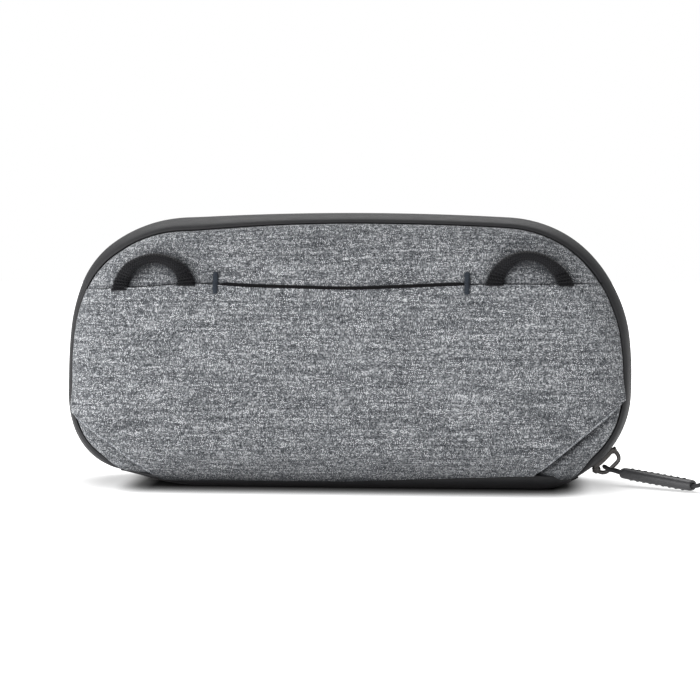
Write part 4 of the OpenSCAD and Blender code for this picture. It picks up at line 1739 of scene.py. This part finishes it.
def mesh_net():
    """An open net: a diamond grid turned into yarns."""
    y0, y1, z0, z1 = place_of("mesh_pocket")
    outline = inside_outline(BACK, y1)
    z0 = foot_of(outline, z0)
    nz, nx = 26, 96
    verts, faces = [], []
    for k in range(nz + 1):
        f = k / nz
        z = z0 + (z1 - z0) * f
        a, b = span_at(outline, z)
        off = 0.5 if k % 2 else 0.0
        for c in range(nx + 1):
            g = min(max((c + off) / nx, 0), 1)
            belly = 0.45 * (1 - (2 * g - 1) ** 4) * math.sin(math.pi * min(1, f * 0.8 + 0.05))
            verts.append((a + (b - a) * g, (y0 + y1) / 2 - belly, z))
    w = nx + 1
    for k in range(nz - 1):
        for c in range(nx):
            if k % 2 == 0:
                q = (k * w + c + 1, (k + 1) * w + c + 1, (k + 2) * w + c + 1, (k + 1) * w + c)
            else:
                q = (k * w + c, (k + 1) * w + c + 1, (k + 2) * w + c, (k + 1) * w + c)
            if len(set(q)) == 4:
                faces.append(q)
    obj = make("mesh_pocket_net", verts, faces, np.array(verts)[:, [0, 2]])
    bm = bmesh.new()
    bm.from_mesh(obj.data)
    bmesh.ops.remove_doubles(bm, verts=bm.verts, dist=1e-5)
    bmesh.ops.dissolve_degenerate(bm, edges=bm.edges, dist=1e-6)
    bm.to_mesh(obj.data)
    bm.free()
    m = obj.modifiers.new("net", "WIREFRAME")
    m.thickness = 0.42 * MM
    m.use_even_offset = False
    m.use_boundary = True
    m.use_relative_offset = False
    apply_modifiers(obj)
    obj.data.shade_smooth()
    return finish_piece(obj, "back_half", "mesh", MESH, "mesh_pocket")


net = mesh_net()


def mesh_elastic():
    """The ribbed elastic along the top of the mesh pocket."""
    node = "mesh_pocket_elastic"
    y0, y1, z0, z1 = place_of(node)
    panel(node + "_edge", BACK, (y0, y1, z0, z1 + 0.2), "elastic", ELASTIC, node, ribs=0.10, nx=420, nz=6)


mesh_elastic()


def cable_strip():
    """The webbing that the cable loops are sewn to."""
    low, high = size_of("cable_loop_strip")
    x, z = np.meshgrid(np.linspace(low[0], high[0], 120), np.linspace(low[2], high[2], 16))
    front = np.stack([x, low[1] - 0.02 + 0.03 * np.sin(x * 3), z], -1)
    back_side = front.copy()
    back_side[..., 1] = high[1]
    rings = np.concatenate([front, back_side[::-1]])
    points, faces = loft(rings, wrap_rows=True, caps=True)
    obj = clean(make("cable_loop_strip_webbing", points, faces, points[:, [0, 2]]))
    finish_piece(obj, "back_half", "webbing", BINDING, "cable_loop_strip")


cable_strip()


def cable_loops():
    """Ribbed elastic that rises off the strip in a row of loops, tacked down between them."""
    low, high = size_of("cable_loops")
    count, w = 5, 15.0
    pitch = (high[0] - low[0] - w) / (count - 1)
    line = []
    top = high[1] - 0.15
    r = w / 2 - 0.5
    straight = high[1] - low[1] - 0.5 - r
    for k in range(count):
        c = low[0] + w / 2 + k * pitch
        if k:
            line += [(c - w / 2 - (pitch - w) * 0.7, top - 0.25), (c - w / 2 - 0.6, top - 0.25)]
        line += [(c - r, top - 0.6), (c - r, top - straight * 0.7)]
        for a in np.linspace(math.pi, 0, 15):
            line.append((c + r * math.cos(a), top - straight - r * math.sin(a)))
        line += [(c + r, top - straight * 0.7), (c + r, top - 0.6)]
        line += [(c + w / 2 + 0.6, top - 0.25)]
    line = [(low[0] - 2.5, top - 0.25)] + line + [(high[0] + 2.5, top - 0.25)]
    path = catmull([(x, y, 0) for x, y in line], 3)
    whole = lengths(path)[-1]
    even = np.linspace(0, whole, int(whole / 0.45))
    path = even_steps(path, even)
    t = np.gradient(path, axis=0)
    t /= np.linalg.norm(t, axis=1)[:, None]
    out = np.stack([t[:, 1], -t[:, 0], np.zeros(len(t))], 1)
    rib = 0.36 + 0.06 * np.sin(even * TAU / 1.3)
    rows = []
    zs = np.linspace(low[2], high[2], 12)
    edge = np.array([0.35] + [1.0] * 10 + [0.35])
    for z, e in zip(zs, edge):
        rows.append(path + out * (rib * e)[:, None] + np.array([0, 0, z]))
    for z, e in zip(zs[::-1], edge[::-1]):
        rows.append(path - out * (rib * e)[:, None] + np.array([0, 0, z]))
    points, faces = loft(np.array(rows), wrap_rows=True, caps=True)
    cloth = np.concatenate([np.stack([even, np.full(len(even), z)], 1) for z in list(zs) + list(zs[::-1])])
    obj = clean(make("cable_loop_elastic", points, faces, cloth))
    finish_piece(obj, "back_half", "elastic", ELASTIC, "cable_loops")


cable_loops()


# ---------------------------------------------------------------- floor and light
# The base's oblong on the floor, in millimetres: its middle, half its width and half its depth. The floor's
# painted shadow eases and its painted glow grows away from it.
FOOT_MID, FOOT_X, FOOT_Y = 3.0, 84.0, 20.0
# The floor's painted contact shadow, from ambient occlusion, reaches this distance from the pouch, in
# millimetres.
SHADOW_REACH = 22.0


def add_floor():
    """A pale floor with a painted shadow under the pouch, from ambient occlusion, and a painted glow that
    whitens it away from the pouch.
    """
    n = 40
    xs = np.linspace(-2.4, 2.4, n)
    verts = [(x, y, -0.00005) for y in np.linspace(-1.6, 3.2, n) for x in xs]
    corners = [r * n + c for r in range(n - 1) for c in range(n - 1)]
    faces = [(k, k + 1, k + n + 1, k + n) for k in corners]
    mesh = bpy.data.meshes.new("floor")
    mesh.from_pydata(verts, [], faces)
    obj = link("floor", mesh)
    m = Mat("pale_floor_painted_shadow_glow", rough=0.9, spec=0.1)
    x, y, _ = m.place()
    off_x = (((x - FOOT_MID).abs() - FOOT_X) * 1.5).max(0.0)
    off_y = (y.abs() - FOOT_Y).max(0.0)
    # Painted shadow: the floor's colour is mixed toward black where ambient occlusion finds the pouch, eased
    # beyond the base's ends.
    shadow_free_share = m.openness(SHADOW_REACH, 16).pow(2.2)
    shadow_free_share = shadow_free_share + (1.0 - shadow_free_share) * ((off_x / 20.0).clamp() * 0.7)
    cloud = m.noise(x * 0.002, y * 0.002, detail=1.0)
    base = m.ramp(cloud, [(0.3, (0.86, 0.86, 0.86)), (0.7, (0.88, 0.88, 0.88))])
    m.put(m.bsdf.inputs["Base Color"], m.mix(shadow_free_share, (0.01, 0.01, 0.01, 1.0), base))
    off = (off_x * off_x + off_y * off_y).pow(0.5)
    # Painted glow: emission that grows with distance from the base and is held back inside the painted
    # shadow.
    glow = ((off - 9.0) / 16.0).clamp() * 0.65 + ((off - 60.0) / 400.0).clamp() * 0.6
    m.bsdf.inputs["Emission Color"].default_value = (1, 1, 1, 1)
    m.put(m.bsdf.inputs["Emission Strength"], glow * shadow_free_share)
    obj.data.materials.append(m.m)


def area_light(name, place, target, size, power):
    """A white oblong light, size in metres and power in watts."""
    data = bpy.data.lights.new(name, "AREA")
    data.shape, data.size, data.size_y = "RECTANGLE", size[0], size[1]
    data.energy = power
    obj = bpy.data.objects.new(name, data)
    scene.collection.objects.link(obj)
    obj.location = place
    obj.rotation_mode = "QUATERNION"
    obj.rotation_quaternion = (Vector(target) - Vector(place)).to_track_quat("-Z", "Y")


# The world lights the pouch at this strength, while the camera sees it white.
WORLD_LIGHT = 0.26


def add_light():
    """A studio: white surroundings, a key light, a side light and a top light."""
    world = bpy.data.worlds.new("studio")
    scene.world = world
    world.use_nodes = True
    tree = world.node_tree
    bg = tree.nodes["Background"]
    bg.inputs[0].default_value = (1.0, 1.0, 1.0, 1)
    rays = tree.nodes.new("ShaderNodeLightPath")
    level = tree.nodes.new("ShaderNodeMapRange")
    level.inputs["To Min"].default_value = WORLD_LIGHT
    level.inputs["To Max"].default_value = 1.0
    tree.links.new(rays.outputs["Is Camera Ray"], level.inputs["Value"])
    tree.links.new(level.outputs[0], bg.inputs[1])
    area_light("key", (-0.50, -1.05, 0.26), (0, 0, 0.06), (0.8, 0.45), 8.6)
    area_light("side", (-1.0, -0.32, 0.24), (0, 0, 0.06), (0.5, 0.4), 4.0)
    area_light("top", (-0.1, 0.42, 0.95), (0, 0, 0.0), (1.2, 0.7), 11.8)


add_floor()
add_light()
